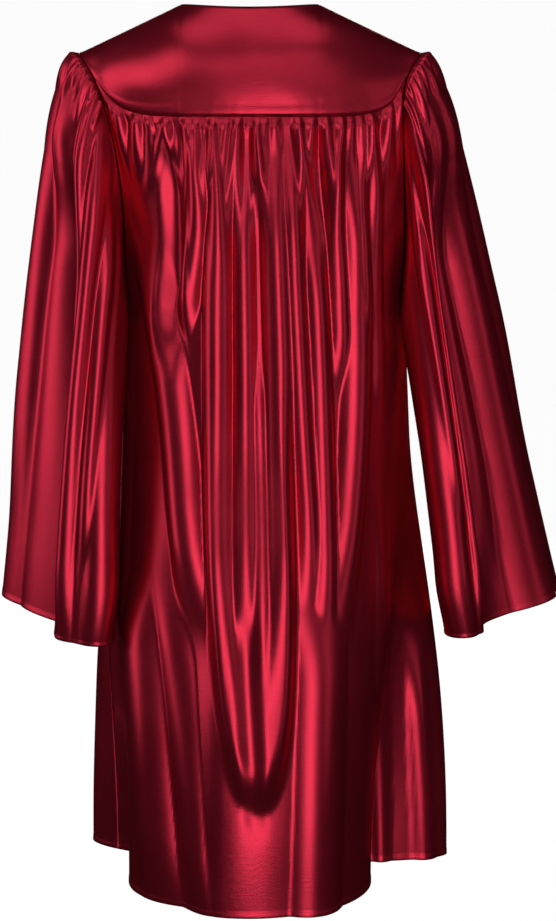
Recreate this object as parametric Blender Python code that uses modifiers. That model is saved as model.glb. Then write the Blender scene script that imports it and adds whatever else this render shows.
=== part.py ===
# Child's graduation gown, filled out as worn: smooth yokes, gathered panels, bell sleeves, front zip.
# Metres. X runs to the wearer's left, Y to the back, and Z up from the neck's side points.

import math

import bmesh
import bpy
import numpy as np
from mathutils import Matrix, Vector

CLOTH = 0.0012  # wall of the satin
SEAM = 0.0004  # gap between sewn pieces
YOKE_SEAM = 0.0007  # the same gap measured upright, where the yoke's seam slopes
ARMHOLE_SEAM = 0.0009  # the same gap at the armhole, where flat facets meet a round edge
SEAM_SHARE = 0.001  # the same gap as a share of a panel's width
HEM = -0.838
SHOULDER_TIP = (0.170, -0.048)
NECK_SIDE = 0.070
NECK_BACK = (0.052, -0.006)
NECK_FRONT = (-0.085, -0.075)
FRONT_GAP = 0.0045  # half the gap that shows the zip

# Armhole: a rounded upright loop between the shoulder tip and the underarm.
ARMHOLE_WIDEST = -0.125
ARMHOLE_DEPTH = 0.065
UNDERARM = -0.300
ARMHOLE_SQUARE = 0.8  # below 1 the upper half is squarer than an ellipse

# Yoke seams: level in the middle, rising to the armhole at CORNER.
CORNER = -0.075
BACK_SEAM = -0.115
FRONT_SEAM = -0.127
SEAM_POWER = 6
CORNER_ANGLE = math.radians(54)
SPREAD_HEIGHTS = (-0.17, -0.36)  # where the columns of a panel spread to the side seam

# Columns: height, left edge x, right edge x, back depth, front depth. The edge is the armhole's above
# the underarm and the side seam below it.
BODY_SECTIONS = (
    (-0.048, 0.170, 0.170, 0.088, 0.095),
    (-0.075, 0.153, 0.153, 0.092, 0.100),
    (-0.120, 0.137, 0.149, 0.101, 0.110),
    (-0.180, 0.126, 0.150, 0.112, 0.117),
    (-0.240, 0.122, 0.151, 0.123, 0.122),
    (-0.300, 0.125, 0.154, 0.134, 0.127),
    (-0.450, 0.131, 0.160, 0.157, 0.143),
    (-0.600, 0.148, 0.171, 0.184, 0.163),
    (-0.838, 0.165, 0.188, 0.240, 0.205),
)

# The hem's plan: one wide lobe at the back, one at the front, and a narrower one at each side.
AXIS_Y = 0.02
LOBES_START = -0.42
BACK_LOBE = (0.118, 0.114)  # centre y, radius
FRONT_LOBE = (-0.090, 0.115)
VALLEY_RADIUS = 0.098
# Columns: side, angle of the flank to the back, of the flank to the front, softness, radius.
SIDE_LOBES = (
    (1, math.radians(90), math.radians(122), math.radians(14), 0.162),
    (-1, math.radians(75), math.radians(118), math.radians(11), 0.194),
)

# Folds of the back panel.
# Columns: x at the top, x half way, x at the foot, top height, foot height, half width, rise.
BACK_FOLDS = (
    (0.102, 0.0660, 0.058, -0.230, -0.620, 0.0130, 0.0110),
    (0.046, 0.0500, 0.073, -0.125, -0.340, 0.0110, 0.0100),
    (0.028, 0.0300, 0.024, -0.125, -0.660, 0.0110, 0.0110),
    (0.008, 0.0050, 0.004, -0.150, -0.620, 0.0080, 0.0045),
    (-0.006, -0.0100, -0.010, -0.330, -0.640, 0.0080, 0.0040),
    (-0.020, -0.0280, -0.027, -0.125, -0.660, 0.0110, 0.0115),
    (-0.037, -0.0455, -0.060, -0.130, -0.600, 0.0095, 0.0110),
    (-0.057, -0.0670, -0.069, -0.200, -0.640, 0.0095, 0.0080),
    (-0.076, -0.0840, -0.086, -0.130, -0.390, 0.0095, 0.0090),
    (-0.094, -0.1000, -0.076, -0.140, -0.620, 0.0110, 0.0115),
    (-0.068, -0.0620, -0.054, -0.540, -1.000, 0.0220, 0.0110),
    (0.062, 0.0700, 0.070, -0.480, -1.060, 0.0460, -0.0170),
    (0.076, 0.0720, 0.073, -0.140, -0.370, 0.0160, -0.0080),
    (0.095, 0.0810, 0.066, -0.560, -0.780, 0.0110, -0.0060),
    (-0.160, -0.1700, -0.176, -0.620, -1.000, 0.0120, 0.0050),
    (0.140, 0.1430, 0.146, -0.600, -1.000, 0.0090, 0.0040),
)

# The drape: one broad rounded fold of the back panel with a flat face, which ends above the hem.
DRAPE_MIDDLE = 0.001  # its x at DRAPE_START
DRAPE_LEAN = -0.030
DRAPE_HALF_WIDTH = 0.041
DRAPE_START = -0.480
DRAPE_FOOT = -0.752
DRAPE_FADE = (-0.340, -0.560)
DRAPE_SHOULDER = 0.55
DRAPE_RISE = 0.0140

# Folds of the front panels, in the same columns, for x on either side.
FRONT_FOLDS = (
    (0.118, 0.0900, 0.076, -0.150, -0.700, 0.015, 0.0080),
    (0.094, 0.0700, 0.050, -0.130, -0.500, 0.012, 0.0070),
    (0.060, 0.0500, 0.040, -0.130, -0.860, 0.015, 0.0090),
    (0.034, 0.0280, 0.026, -0.135, -0.640, 0.012, 0.0060),
    (-0.032, -0.0300, -0.034, -0.135, -0.720, 0.012, 0.0070),
    (-0.058, -0.0600, -0.054, -0.130, -0.560, 0.013, 0.0075),
    (-0.086, -0.0780, -0.070, -0.130, -0.860, 0.015, 0.0090),
    (-0.114, -0.1000, -0.098, -0.150, -0.600, 0.013, 0.0070),
)

# Gathers along the yoke seams. Columns: first x, last x, count, length.
BACK_GATHERS = (
    (0.148, 0.126, 4, 0.070),
    (0.117, 0.098, 3, 0.055),
    (0.090, 0.070, 3, 0.030),
    (0.060, 0.021, 6, 0.100),
    (0.012, -0.024, 5, 0.085),
    (-0.045, -0.058, 3, 0.075),
    (-0.072, -0.104, 5, 0.095),
    (-0.115, -0.144, 4, 0.070),
)
FRONT_GATHERS = (
    (0.034, 0.066, 5, 0.080),
    (0.082, 0.142, 8, 0.070),
)
GATHER_RISE = 0.0026
GATHER_WIDTH = 0.0046
GATHER_AT_SEAM = 0.12  # share of a gather's rise that it keeps inside the seam
GATHER_FULL = 0.010
EDGE_EASE = 0.91  # share of a half panel past which folds flatten towards its edge
FRONT_NECK_SHARE = 0.45  # share of the front yoke's top edge that is the neck
YOKE_ROUNDNESS = 0.42
# Columns: how much less the yoke runs level at the neck, and how much more it drops there.
BACK_YOKE_LEAN = (0.34, 0.63)
FRONT_YOKE_LEAN = (0.45, 0.70)
YOKE_DROP = -0.12
NECK_BLEND = 0.16  # share over which the back yoke rounds off below the neck's corners
YOKE_FOOT = (-0.1, 0.995)  # direction from the seam up into the yoke: outwards, up

# Sleeves. Columns: side, cuff centre x, y, z, long half, short half, long axis x, drop, outer flare.
SLEEVES = (
    (1, 0.190, 0.022, -0.602, 0.120, 0.044, 0.40, 0.012, 0.017),
    (-1, 0.252, 0.005, -0.598, 0.104, 0.042, 0.50, 0.015, 0.046),
)
CUFF_TURN = math.radians(45)
# How a sleeve leaves the armhole and reaches the cuff. Columns: plain, more towards its top, and
# less to the back and front.
LEAVE_OUT = (0.024, 0.010, -0.006)
LEAVE_BACK = 0.024
LEAVE_DOWN = (-0.050, 0.018)
ARRIVE_DOWN = (0.150, 0.035)
SLEEVE_CLEARANCE = 0.0055
# Columns: angle at the head, angle at the cuff, start, end, half width, rise; angles in degrees.
LEFT_SLEEVE_FOLDS = (
    (14, 14, 0.05, 0.90, 17, 0.0070),
    (50, 52, 0.22, 1.60, 44, -0.0360),
    (66, 78, 0.02, 0.66, 9, 0.0085),
    (88, 96, 0.04, 1.10, 10, 0.0095),
    (108, 116, 0.06, 0.70, 9, 0.0080),
    (138, 138, 0.00, 1.10, 26, 0.0130),
    (215, 225, 0.10, 1.10, 16, 0.0070),
    (262, 268, 0.08, 1.10, 15, 0.0080),
    (300, 305, 0.06, 0.80, 15, 0.0080),
)
RIGHT_SLEEVE_FOLDS = (
    (14, 20, 0.05, 0.80, 17, 0.0080),
    (42, 58, 0.10, 0.95, 10, 0.0100),
    (50, 68, 0.22, 1.60, 56, -0.0400),
    (78, 100, 0.04, 1.10, 10, 0.0100),
    (106, 118, 0.05, 0.60, 9, 0.0085),
    (138, 138, 0.00, 1.10, 30, 0.0160),
    (210, 222, 0.10, 1.10, 16, 0.0070),
    (258, 262, 0.08, 1.10, 15, 0.0080),
    (300, 300, 0.06, 0.80, 15, 0.0080),
)
SLEEVE_GATHERS = (-62, -46, -30, -15, 0, 14, 27, 40, 54, 68)
SLEEVE_GATHER_LENGTH = 0.11
SLEEVE_GATHER_WIDTH = 6.5  # degrees
PUFF_END = 0.3
SLEEVE_PUFF = 0.005

# Zip, closed at the neck.
TAPE_INSET = 0.0008
TAPE_WALL = 0.0008
TAPE_FIRST_ROW = 1
ZIP_ROWS = 16
COIL_WIDTH = 0.0048
COIL_WALL = 0.0016
COIL_CROWN = 0.0003  # how much its middle stands above its edges
SLIDER_PLACE = 0.26  # share of the front yoke's drop
SLIDER_SIZE = (0.0076, 0.0024, 0.0090)
BRIDGE_SIZE = (0.0018, 0.0030, 0.0072)
BRIDGE_WALL = 0.0012
BRIDGE_SUNK = 0.0004
SLIDER_ROUNDING = 0.0004
PULL_SIZE = (0.0066, 0.0011, 0.0252)
PULL_HOLE = (0.0028, 0.0042)
PULL_BAR = 0.0012
RUNNING_GAP = 0.0003

SATIN = (0.29, 0.012, 0.035)
TAPE_COLOUR = (0.20, 0.010, 0.028)
METAL_COLOUR = (0.22, 0.012, 0.028)

# Rows of the meshes, as distances below the seam, and columns.
PANEL_ROWS = (0, 0.007, 0.018, 0.036, 0.062, 0.09, 0.12, 0.15, 0.172, 0.185, 0.23, 0.30, 0.38, 0.46,
              0.54, 0.62, 0.723)
WIDEST_COLUMN = 0.045  # share of a half panel
YOKE_ROWS = 5
SLEEVE_COLUMNS = 34
SLEEVE_ROWS = (0, 0.03, 0.08, 0.15, 0.24, 0.34, 0.45, 0.56, 0.67, 0.78, 0.89, 1.0)


def ramp(start, end, value):
    share = np.clip((value - start) / (end - start), 0, 1)
    return share * share * (3 - 2 * share)


def smooth_column(rows, column, height):
    """Read one column of a table at any height, with smooth slopes at its rows."""
    table = np.array(sorted(rows))
    knots, values = table[:, 0], table[:, column]
    slopes = np.gradient(values, knots)
    height = np.clip(height, knots[0], knots[-1])
    cell = np.clip(np.searchsorted(knots, height) - 1, 0, len(knots) - 2)
    step = knots[cell + 1] - knots[cell]
    t = (height - knots[cell]) / step
    start = (1 + 2 * t) * (1 - t) ** 2 * values[cell] + t * (1 - t) ** 2 * step * slopes[cell]
    end = t * t * (3 - 2 * t) * values[cell + 1] + t * t * (t - 1) * step * slopes[cell + 1]
    return start + end


def side_x(height, side):
    return smooth_column(BODY_SECTIONS, 1 if side > 0 else 2, height)


def depth_at(height, back):
    return smooth_column(BODY_SECTIONS, 3 if back else 4, height)


def armhole_y(height):
    """Half the armhole's width, front to back, at a height."""
    upper = (height - ARMHOLE_WIDEST) / (SHOULDER_TIP[1] - ARMHOLE_WIDEST)
    lower = (ARMHOLE_WIDEST - height) / (ARMHOLE_WIDEST - UNDERARM)
    power = 2 / ARMHOLE_SQUARE
    top = (1 - np.clip(upper, 0, 1) ** power) ** (1 / power)
    bottom = np.sqrt(1 - np.clip(lower, 0, 1) ** 2)
    return ARMHOLE_DEPTH * np.where(height > ARMHOLE_WIDEST, top, bottom)


def armhole_point(angle, side):
    """A point of the armhole: 0 at the shoulder tip, a quarter turn at the back, a half at the underarm."""
    rise, reach = np.cos(angle), np.sin(angle)
    squarer = np.sign(rise) * np.abs(rise) ** ARMHOLE_SQUARE
    wider = np.sign(reach) * np.abs(reach) ** ARMHOLE_SQUARE
    upper = rise > 0
    height = ARMHOLE_WIDEST + np.where(
        upper, (SHOULDER_TIP[1] - ARMHOLE_WIDEST) * squarer, (ARMHOLE_WIDEST - UNDERARM) * rise
    )
    y = ARMHOLE_DEPTH * np.where(upper, wider, reach)
    return np.stack([side * side_x(height, side), y, height], axis=-1)


def hem_radius(angle, side, back):
    """The hem's plan radius at an angle from the middle of the back or the front."""
    centre_y, radius = BACK_LOBE if back else FRONT_LOBE
    away = abs(centre_y - AXIS_Y)
    root = np.maximum(radius ** 2 - (away * np.sin(angle)) ** 2, 0)
    lobe = away * np.cos(angle) + np.sqrt(root)
    lobe = (lobe ** 8 + VALLEY_RADIUS ** 8) ** 0.125
    from_back = angle if back else math.pi - angle
    for row_side, flank, far_flank, soft, reach in SIDE_LOBES:
        share = ramp(flank - soft, flank + soft, from_back)
        share = share * (1 - ramp(far_flank - soft, far_flank + soft, from_back))
        lobe = np.where(side == row_side, lobe + (reach - lobe) * share, lobe)
    return lobe


def edge_angle(height, back):
    """The angle at which a panel ends: at the armhole, and below it at the side seam."""
    share = np.clip(armhole_y(height) / depth_at(height, back), 0, 1)
    return np.where(height > UNDERARM, np.arccos(share), math.pi / 2)


def section_point(angle, height, side, back):
    """A point of the plain body, with no folds; the angle runs from the middle to the side."""
    width = side_x(height, side) / np.sin(edge_angle(height, back))
    turn = 1 if back else -1
    share = ramp(LOBES_START, HEM, height)
    radius = hem_radius(angle, side, back)
    x = width * np.sin(angle) * (1 - share) + radius * np.sin(angle) * share
    y = turn * depth_at(height, back) * np.cos(angle) * (1 - share)
    y = y + (AXIS_Y + turn * radius * np.cos(angle)) * share
    return np.stack([side * x, y, height + 0 * x], axis=-1)


def fold_height(rows, x, height):
    """How far the folds of a table lift the cloth; ridges that meet run into each other."""
    ridges, troughs = 0, 0
    for top_x, middle_x, foot_x, top, foot, width, rise in rows:
        t = (height - top) / (foot - top)
        near = np.clip(t, 0, 1)
        centre = top_x * (1 - near) * (1 - 2 * near) + 4 * middle_x * near * (1 - near)
        centre = centre + foot_x * near * (2 * near - 1)
        across = np.clip((x - centre) / width, -1, 1)
        along = ramp(-0.02, 0.22, t) * ramp(1.02, 0.72, t)
        bump = abs(rise) * np.cos(across * math.pi / 2) ** 2 * along
        if rise > 0:
            ridges = ridges + bump ** 3
        else:
            troughs = troughs + bump
    return np.cbrt(ridges) - troughs


def drape_height(x, height):
    """How far the drape lifts the cloth: flat inside its rounded outline and nothing outside it."""
    fall = np.clip((height - DRAPE_START) / (DRAPE_FOOT - DRAPE_START), 0, None)
    middle = DRAPE_MIDDLE + DRAPE_LEAN * (DRAPE_START - height)
    inside = 1 - ((x - middle) / DRAPE_HALF_WIDTH) ** 2 - fall ** 4
    return DRAPE_RISE * ramp(0, DRAPE_SHOULDER, inside) * ramp(*DRAPE_FADE, height)


def gather_places(rows):
    """Every gather of a table as its x, length and rise, uneven as hand-pulled gathers are."""
    places = []
    for first, last, count, length in rows:
        for number in range(count):
            x = first + (last - first) * number / max(count - 1, 1)
            uneven = math.cos(2.4 * len(places))
            places.append((x, length * (1 + 0.35 * uneven), GATHER_RISE * (1 + 0.25 * uneven)))
    return places


def gather_height(places, x, drop):
    total = 0
    for centre, length, rise in places:
        width = GATHER_WIDTH * (1 + 0.6 * np.clip(drop / length, 0, 1))
        across = np.clip((x - centre) / width, -1, 1)
        along = GATHER_AT_SEAM + (1 - GATHER_AT_SEAM) * ramp(0, GATHER_FULL, drop)
        along = along * ramp(length, 0.3 * length, drop)
        total = total + (rise * np.cos(across * math.pi / 2) ** 2 * along) ** 3
    return np.cbrt(total)


BACK_GATHER_PLACES = gather_places(BACK_GATHERS)
FRONT_GATHER_PLACES = gather_places(FRONT_GATHERS)


def seam_height(share, back):
    middle = BACK_SEAM if back else FRONT_SEAM
    return middle + (CORNER - middle) * np.abs(share) ** SEAM_POWER


def body_point(share, height, side, back, folded=True):
    """A point of the panels; share is 0 at the middle and 1 at the armhole or side seam."""
    share = np.broadcast_to(share, np.broadcast(share, height).shape)
    limit = edge_angle(height, back)
    first = 0 if back else np.arcsin(FRONT_GAP / side_x(height, side) * np.sin(limit))
    eased = CORNER_ANGLE + (math.pi / 2 - CORNER_ANGLE) * ramp(*SPREAD_HEIGHTS, height)
    eased = eased + (limit - eased) * share ** 6
    angle = first + (eased - first) * share
    step = 0.002
    plain = section_point(angle, height, side, back)
    ahead = section_point(angle + step, height, side, back)
    behind = section_point(angle - step, height, side, back)
    along = ahead - behind
    turn = side if back else -side
    normal = np.stack([-turn * along[..., 1], turn * along[..., 0], 0 * along[..., 2]], axis=-1)
    normal = normal / np.linalg.norm(normal, axis=-1, keepdims=True)
    if not folded:
        return plain, normal
    drop = np.maximum(seam_height(share, back) - height, 0)
    start = ramp(0, 0.035, drop)
    if back:
        lift = fold_height(BACK_FOLDS, plain[..., 0], height) * start
        lift = lift + gather_height(BACK_GATHER_PLACES, plain[..., 0], drop)
        lift = lift + drape_height(plain[..., 0], height)
    else:
        lift = fold_height(FRONT_FOLDS, plain[..., 0], height) * start
        lift = lift + gather_height(FRONT_GATHER_PLACES, np.abs(plain[..., 0]), drop)
        lift = lift * ramp(0.014, 0.026, np.abs(plain[..., 0]))
    lift = lift * ramp(1.0, EDGE_EASE, share)
    return plain + normal * lift[..., None], normal


def panel_height(share, drop, back):
    """Rows follow the curved seam at the top and run level from the underarm down."""
    middle = BACK_SEAM if back else FRONT_SEAM
    seam = seam_height(share, back)
    level = ramp(0, -UNDERARM + middle, drop)
    scale = (HEM - middle) / (HEM - BACK_SEAM)
    return (seam - YOKE_SEAM - drop) * (1 - level) + (middle - drop * scale) * level


def column_shares(side, back):
    """Columns of one half: one on each gather and one between, from the middle to the side."""
    places = BACK_GATHER_PLACES if back else FRONT_GATHER_PLACES
    fine = np.linspace(0, 1, 401)
    plain, normal = body_point(fine, seam_height(fine, back), side, back, folded=False)
    reach = np.abs(plain[:, 0])
    wanted = side if back else 1
    crests = sorted(np.interp(abs(x), reach, fine) for x, length, rise in places if x * wanted > 0)
    knots = [0.0]
    for crest in crests + [1.0]:
        gap = crest - knots[-1]
        parts = max(2, math.ceil(gap / WIDEST_COLUMN)) if gap > 0.012 else 1
        knots += [knots[-1] + gap * number / parts for number in range(1, parts + 1)]
    return np.array(knots)


def panel_shares(back, side=1):
    """Signed shares for every row and column; rows even out below the gathers."""
    if back:
        top = np.concatenate([-column_shares(-1, True)[:0:-1], column_shares(1, True)])
    else:
        top = column_shares(side, False)
    even = np.linspace(top[0], top[-1], len(top))
    drops = np.array(PANEL_ROWS)[:, None]
    shares = top + (even - top) * ramp(0, 0.12, drops)
    return np.clip(shares, -1 + SEAM_SHARE, 1 - SEAM_SHARE)


def signed_point(shares, drops, back, side=1):
    """Panel points and level normals for signed shares, where the sign is the side of the body."""
    heights = panel_height(shares, drops, back)
    if not back:
        return body_point(shares, heights, side, False)
    left = body_point(np.abs(shares), heights, 1, True)
    right = body_point(np.abs(shares), heights, -1, True)
    return [np.where(shares[..., None] >= 0, one, other) for one, other in zip(left, right)]


def seam_normals(shares, back, side=1):
    """Level normals along a yoke's seam, the same for the yoke and for its panel."""
    heights = seam_height(np.abs(shares), back)
    if not back:
        return body_point(shares, heights, side, False, folded=False)[1]
    left = body_point(np.abs(shares), heights, 1, True, folded=False)[1]
    right = body_point(np.abs(shares), heights, -1, True, folded=False)[1]
    return np.where(shares[..., None] >= 0, left, right)


def grid_normals(points, ring=False):
    """Outward directions of a grid whose rows run down and whose columns run to the right."""
    if ring:
        around = np.roll(points[:, :-1], -1, axis=1) - np.roll(points[:, :-1], 1, axis=1)
        around = np.concatenate([around, around[:, :1]], axis=1)
    else:
        around = np.gradient(points, axis=1)
    normal = np.cross(around, np.gradient(points, axis=0))
    return normal / np.linalg.norm(normal, axis=-1, keepdims=True)


def yoke_top(share, side, back):
    """The shoulder seam, and inside it the edge of the neck."""
    run = SHOULDER_TIP[0] - NECK_SIDE
    if back:
        x = SHOULDER_TIP[0] * share
        round_neck = np.clip(1 - (x / NECK_SIDE) ** 2, 0, 1)
        y = NECK_BACK[0] * np.sqrt(round_neck)
        z = NECK_BACK[1] * round_neck
    else:
        inner = np.clip(1 - share / FRONT_NECK_SHARE, 0, 1)
        outer = np.clip((share - FRONT_NECK_SHARE) / (1 - FRONT_NECK_SHARE), 0, 1)
        x = NECK_SIDE + run * outer - (NECK_SIDE - FRONT_GAP) * inner ** 1.15
        y = NECK_FRONT[0] * inner ** 0.8
        z = NECK_FRONT[1] * inner ** 1.25
    z = z + SHOULDER_TIP[1] * np.clip((x - NECK_SIDE) / run, 0, 1)
    return np.stack([side * x, y, z], axis=-1)


def soft_top(share, side, back):
    """The top edge with the neck's corners rounded off, which shapes the cloth below them."""
    soft = yoke_top(share, side, back)
    if back:
        offsets = np.linspace(-1, 1, 21)
        weights = np.cos(offsets * math.pi / 2) ** 2
        near = [yoke_top(np.clip(abs(share + NECK_BLEND * offset), 0, 1), side, True) for offset in offsets]
        soft[..., 1:] = np.tensordot(weights / weights.sum(), np.stack(near), 1)[..., 1:]
    return soft


def yoke_curve(share, fall, side, back):
    turn = 1 if back else -1
    top = soft_top(share, side, back)
    foot = body_point(share, seam_height(share, back), side, back, folded=False)[0]
    neck = np.clip(top[..., 1] / (NECK_BACK[0] if back else NECK_FRONT[0]), 0, 1)
    flat, steep = BACK_YOKE_LEAN if back else FRONT_YOKE_LEAN
    lean = np.stack([0 * neck, turn * (1 - flat * neck), YOKE_DROP - steep * neck], axis=-1)
    lean = lean / np.linalg.norm(lean, axis=-1, keepdims=True)
    hold = YOKE_ROUNDNESS * np.linalg.norm(foot - top, axis=-1, keepdims=True)
    above = top + lean * hold
    below = foot + np.array([0, YOKE_FOOT[0] * turn, YOKE_FOOT[1]]) * hold
    fall = np.asarray(fall)[..., None]
    edge = (yoke_top(share, side, back) - top) * (1 - fall) ** 5
    return (edge + top * (1 - fall) ** 3 + 3 * above * fall * (1 - fall) ** 2
            + 3 * below * fall ** 2 * (1 - fall) + foot * fall ** 3)


def yoke_point(share, fall, side, back):
    """A point of a yoke; fall is 0 at the shoulder and neck and 1 at the gathered seam."""
    share = np.broadcast_to(share, np.broadcast(share, fall).shape)
    fall = np.broadcast_to(fall, share.shape)
    turn = 1 if back else -1
    squared = (CORNER - ARMHOLE_WIDEST) / (SHOULDER_TIP[1] - ARMHOLE_WIDEST)
    corner = math.acos(squared ** (1 / ARMHOLE_SQUARE))
    edge = armhole_point(corner * fall * turn, side)
    curve = yoke_curve(share, fall, side, back)
    end = yoke_curve(np.ones_like(share), fall, side, back)
    point = curve + (edge - end) * (share ** 8)[..., None]
    point[..., 1] += turn * SEAM / 2 * (1 - fall) ** 3
    return point


def body_radii():
    """The body's plan radius from its own axis, by height and by angle from the back."""
    heights = np.linspace(HEM, CORNER, 90)
    angles = np.linspace(0, math.pi, 181)
    shares = np.linspace(0, 1, 91)
    tables = {}
    for side in (1, -1):
        rows = []
        for height in heights:
            level = np.full_like(shares, height)
            back = body_point(shares, level, side, True)[0]
            front = body_point(shares[::-1], level, side, False)[0]
            ring = np.concatenate([back, front])
            turn = np.arctan2(np.abs(ring[:, 0]), ring[:, 1] - AXIS_Y)
            radius = np.hypot(ring[:, 0], ring[:, 1] - AXIS_Y)
            rows.append(np.interp(angles, turn, radius))
        tables[side] = np.array(rows)
    return heights, angles, tables


BODY_HEIGHTS, BODY_ANGLES, BODY_RADII = body_radii()


def clear_of_body(points, side, clearance):
    """Move points outwards where they are nearer to the body than the clearance."""
    x, y, z = points[..., 0], points[..., 1] - AXIS_Y, points[..., 2]
    angle = np.arctan2(np.maximum(side * x, 0), y)
    radius = np.hypot(x, y)
    row = np.interp(z, BODY_HEIGHTS, np.arange(len(BODY_HEIGHTS)))
    column = np.interp(angle, BODY_ANGLES, np.arange(len(BODY_ANGLES)))
    low = np.minimum(row.astype(int), len(BODY_HEIGHTS) - 2)
    left = np.minimum(column.astype(int), len(BODY_ANGLES) - 2)
    u, v = row - low, column - left
    table = BODY_RADII[side]
    body = ((table[low, left] * (1 - v) + table[low, left + 1] * v) * (1 - u)
            + (table[low + 1, left] * (1 - v) + table[low + 1, left + 1] * v) * u)
    wanted = np.maximum(radius, body + clearance)
    scale = np.where(clearance > 0, wanted / radius, 1)
    moved = points.copy()
    moved[..., 0] = x * scale
    moved[..., 1] = y * scale + AXIS_Y
    return moved


def sleeve_base(angle, along, row):
    """A smooth sleeve: every line of it leaves the armhole outwards and reaches the cuff going down."""
    side, cuff_x, cuff_y, cuff_z, long_half, short_half, axis_x, drop, flare = row
    axis_y = math.sqrt(1 - axis_x ** 2)
    head = armhole_point(angle, side)
    head[..., 0] += side * ARMHOLE_SEAM
    far, near = np.cos(angle + CUFF_TURN), np.sin(angle + CUFF_TURN)
    cuff = np.stack([
        side * (cuff_x + long_half * axis_x * far + short_half * axis_y * near),
        cuff_y - long_half * axis_y * far + short_half * axis_x * near,
        cuff_z + drop * far,
    ], axis=-1)
    rise, reach = np.cos(angle), np.sin(angle)
    leave = np.stack([
        side * (LEAVE_OUT[0] + LEAVE_OUT[1] * rise + LEAVE_OUT[2] * np.abs(reach)),
        LEAVE_BACK * reach,
        LEAVE_DOWN[0] + LEAVE_DOWN[1] * rise,
    ], axis=-1)
    up = ARRIVE_DOWN[0] + ARRIVE_DOWN[1] * rise
    arrive = np.stack([-side * flare * (1 + rise) / 2, 0 * rise, up], axis=-1)
    t = np.asarray(along)[..., None]
    return (head * (1 - t) ** 3 + 3 * (head + leave) * t * (1 - t) ** 2
            + 3 * (cuff + arrive) * t ** 2 * (1 - t) + cuff * t ** 3)


def sleeve_lift(angle, along, folds):
    degrees = np.degrees(angle) % 360
    ridges, troughs = 0, 0
    for head_angle, cuff_angle, start, end, width, rise in folds:
        centre = head_angle + (cuff_angle - head_angle) * along
        across = np.clip(((degrees - centre + 180) % 360 - 180) / width, -1, 1)
        ease = min(0.25, (end - start) / 3)
        envelope = ramp(start, start + ease, along) * ramp(end, end - ease, along)
        bump = abs(rise) * np.cos(across * math.pi / 2) ** 2 * envelope
        if rise > 0:
            ridges = ridges + bump ** 3
        else:
            troughs = troughs + bump
    for number, place in enumerate(SLEEVE_GATHERS):
        across = np.clip(((degrees - place + 180) % 360 - 180) / SLEEVE_GATHER_WIDTH, -1, 1)
        length = SLEEVE_GATHER_LENGTH * (1 + 0.4 * math.cos(2.4 * number))
        envelope = ramp(0, 0.03, along) * ramp(length * 1.8, length * 0.4, along)
        ridges = ridges + (GATHER_RISE * np.cos(across * math.pi / 2) ** 2 * envelope) ** 3
    cap = np.clip(np.cos(np.radians(degrees)), 0, 1)
    puff = SLEEVE_PUFF * cap * np.sin(np.clip(along / PUFF_END, 0, 1) * math.pi)
    return np.cbrt(ridges) - troughs + puff


def sleeve_point(angle, along, row, folds):
    angle, along = np.broadcast_arrays(np.asarray(angle, float), np.asarray(along, float))
    side = row[0]
    base = sleeve_base(angle, along, row)
    around = sleeve_base(angle + 0.02, along, row) - sleeve_base(angle - 0.02, along, row)
    down = sleeve_base(angle, along + 0.01, row) - sleeve_base(angle, along - 0.01, row)
    normal = -side * np.cross(around, down)
    normal = normal / np.linalg.norm(normal, axis=-1, keepdims=True)
    point = base + normal * sleeve_lift(angle, along, folds)[..., None]
    clear = clear_of_body(point, side, SLEEVE_CLEARANCE * ramp(0.01, 0.12, along))
    return point + (clear - point) * ramp(0, 0.06, along)[..., None]


def new_material(name, colour, roughness, metallic):
    material = bpy.data.materials.new(name)
    material.use_nodes = True
    shader = material.node_tree.nodes["Principled BSDF"]
    shader.inputs["Base Color"].default_value = (*colour, 1)
    shader.inputs["Roughness"].default_value = roughness
    shader.inputs["Metallic"].default_value = metallic
    return material


def new_object(name, mesh, material):
    data = bpy.data.meshes.new(name)
    mesh.to_mesh(data)
    mesh.free()
    data.materials.append(material)
    data.shade_smooth()
    thing = bpy.data.objects.new(name, data)
    gown.objects.link(thing)
    return thing


def cloth_piece(name, points, normals, material, wall=CLOTH):
    """A grid of points, rows by columns, as a wall of cloth thickened inwards."""
    rows, columns = points.shape[:2]
    mesh = bmesh.new()
    inward = mesh.verts.layers.float_vector.new("inward")
    bmesh.ops.create_grid(mesh, x_segments=columns - 1, y_segments=rows - 1, size=0.5)
    for vertex, point, normal in zip(mesh.verts, points.reshape(-1, 3), normals.reshape(-1, 3)):
        vertex.co = Vector(point)
        vertex[inward] = Vector(-normal * wall)
    bmesh.ops.remove_doubles(mesh, verts=mesh.verts, dist=0.00001)
    lining = bmesh.ops.extrude_face_region(mesh, geom=mesh.faces[:], use_keep_orig=True)
    for corner in lining["geom"]:
        if isinstance(corner, bmesh.types.BMVert):
            corner.co += corner[inward]
    bmesh.ops.recalc_face_normals(mesh, faces=mesh.faces[:])
    return new_object(name, mesh, material)


def panel_piece(name, shares, drops, back, side=1):
    points, level = signed_point(shares, drops, back, side)
    if not back and side > 0:
        points, level = points[:, ::-1], level[:, ::-1]
    normals = grid_normals(points)
    normals[0] = level[0]
    normals[:, (0, -1)] = level[:, (0, -1)]
    cloth_piece(name, points, normals, satin(name + "_satin"))


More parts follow.
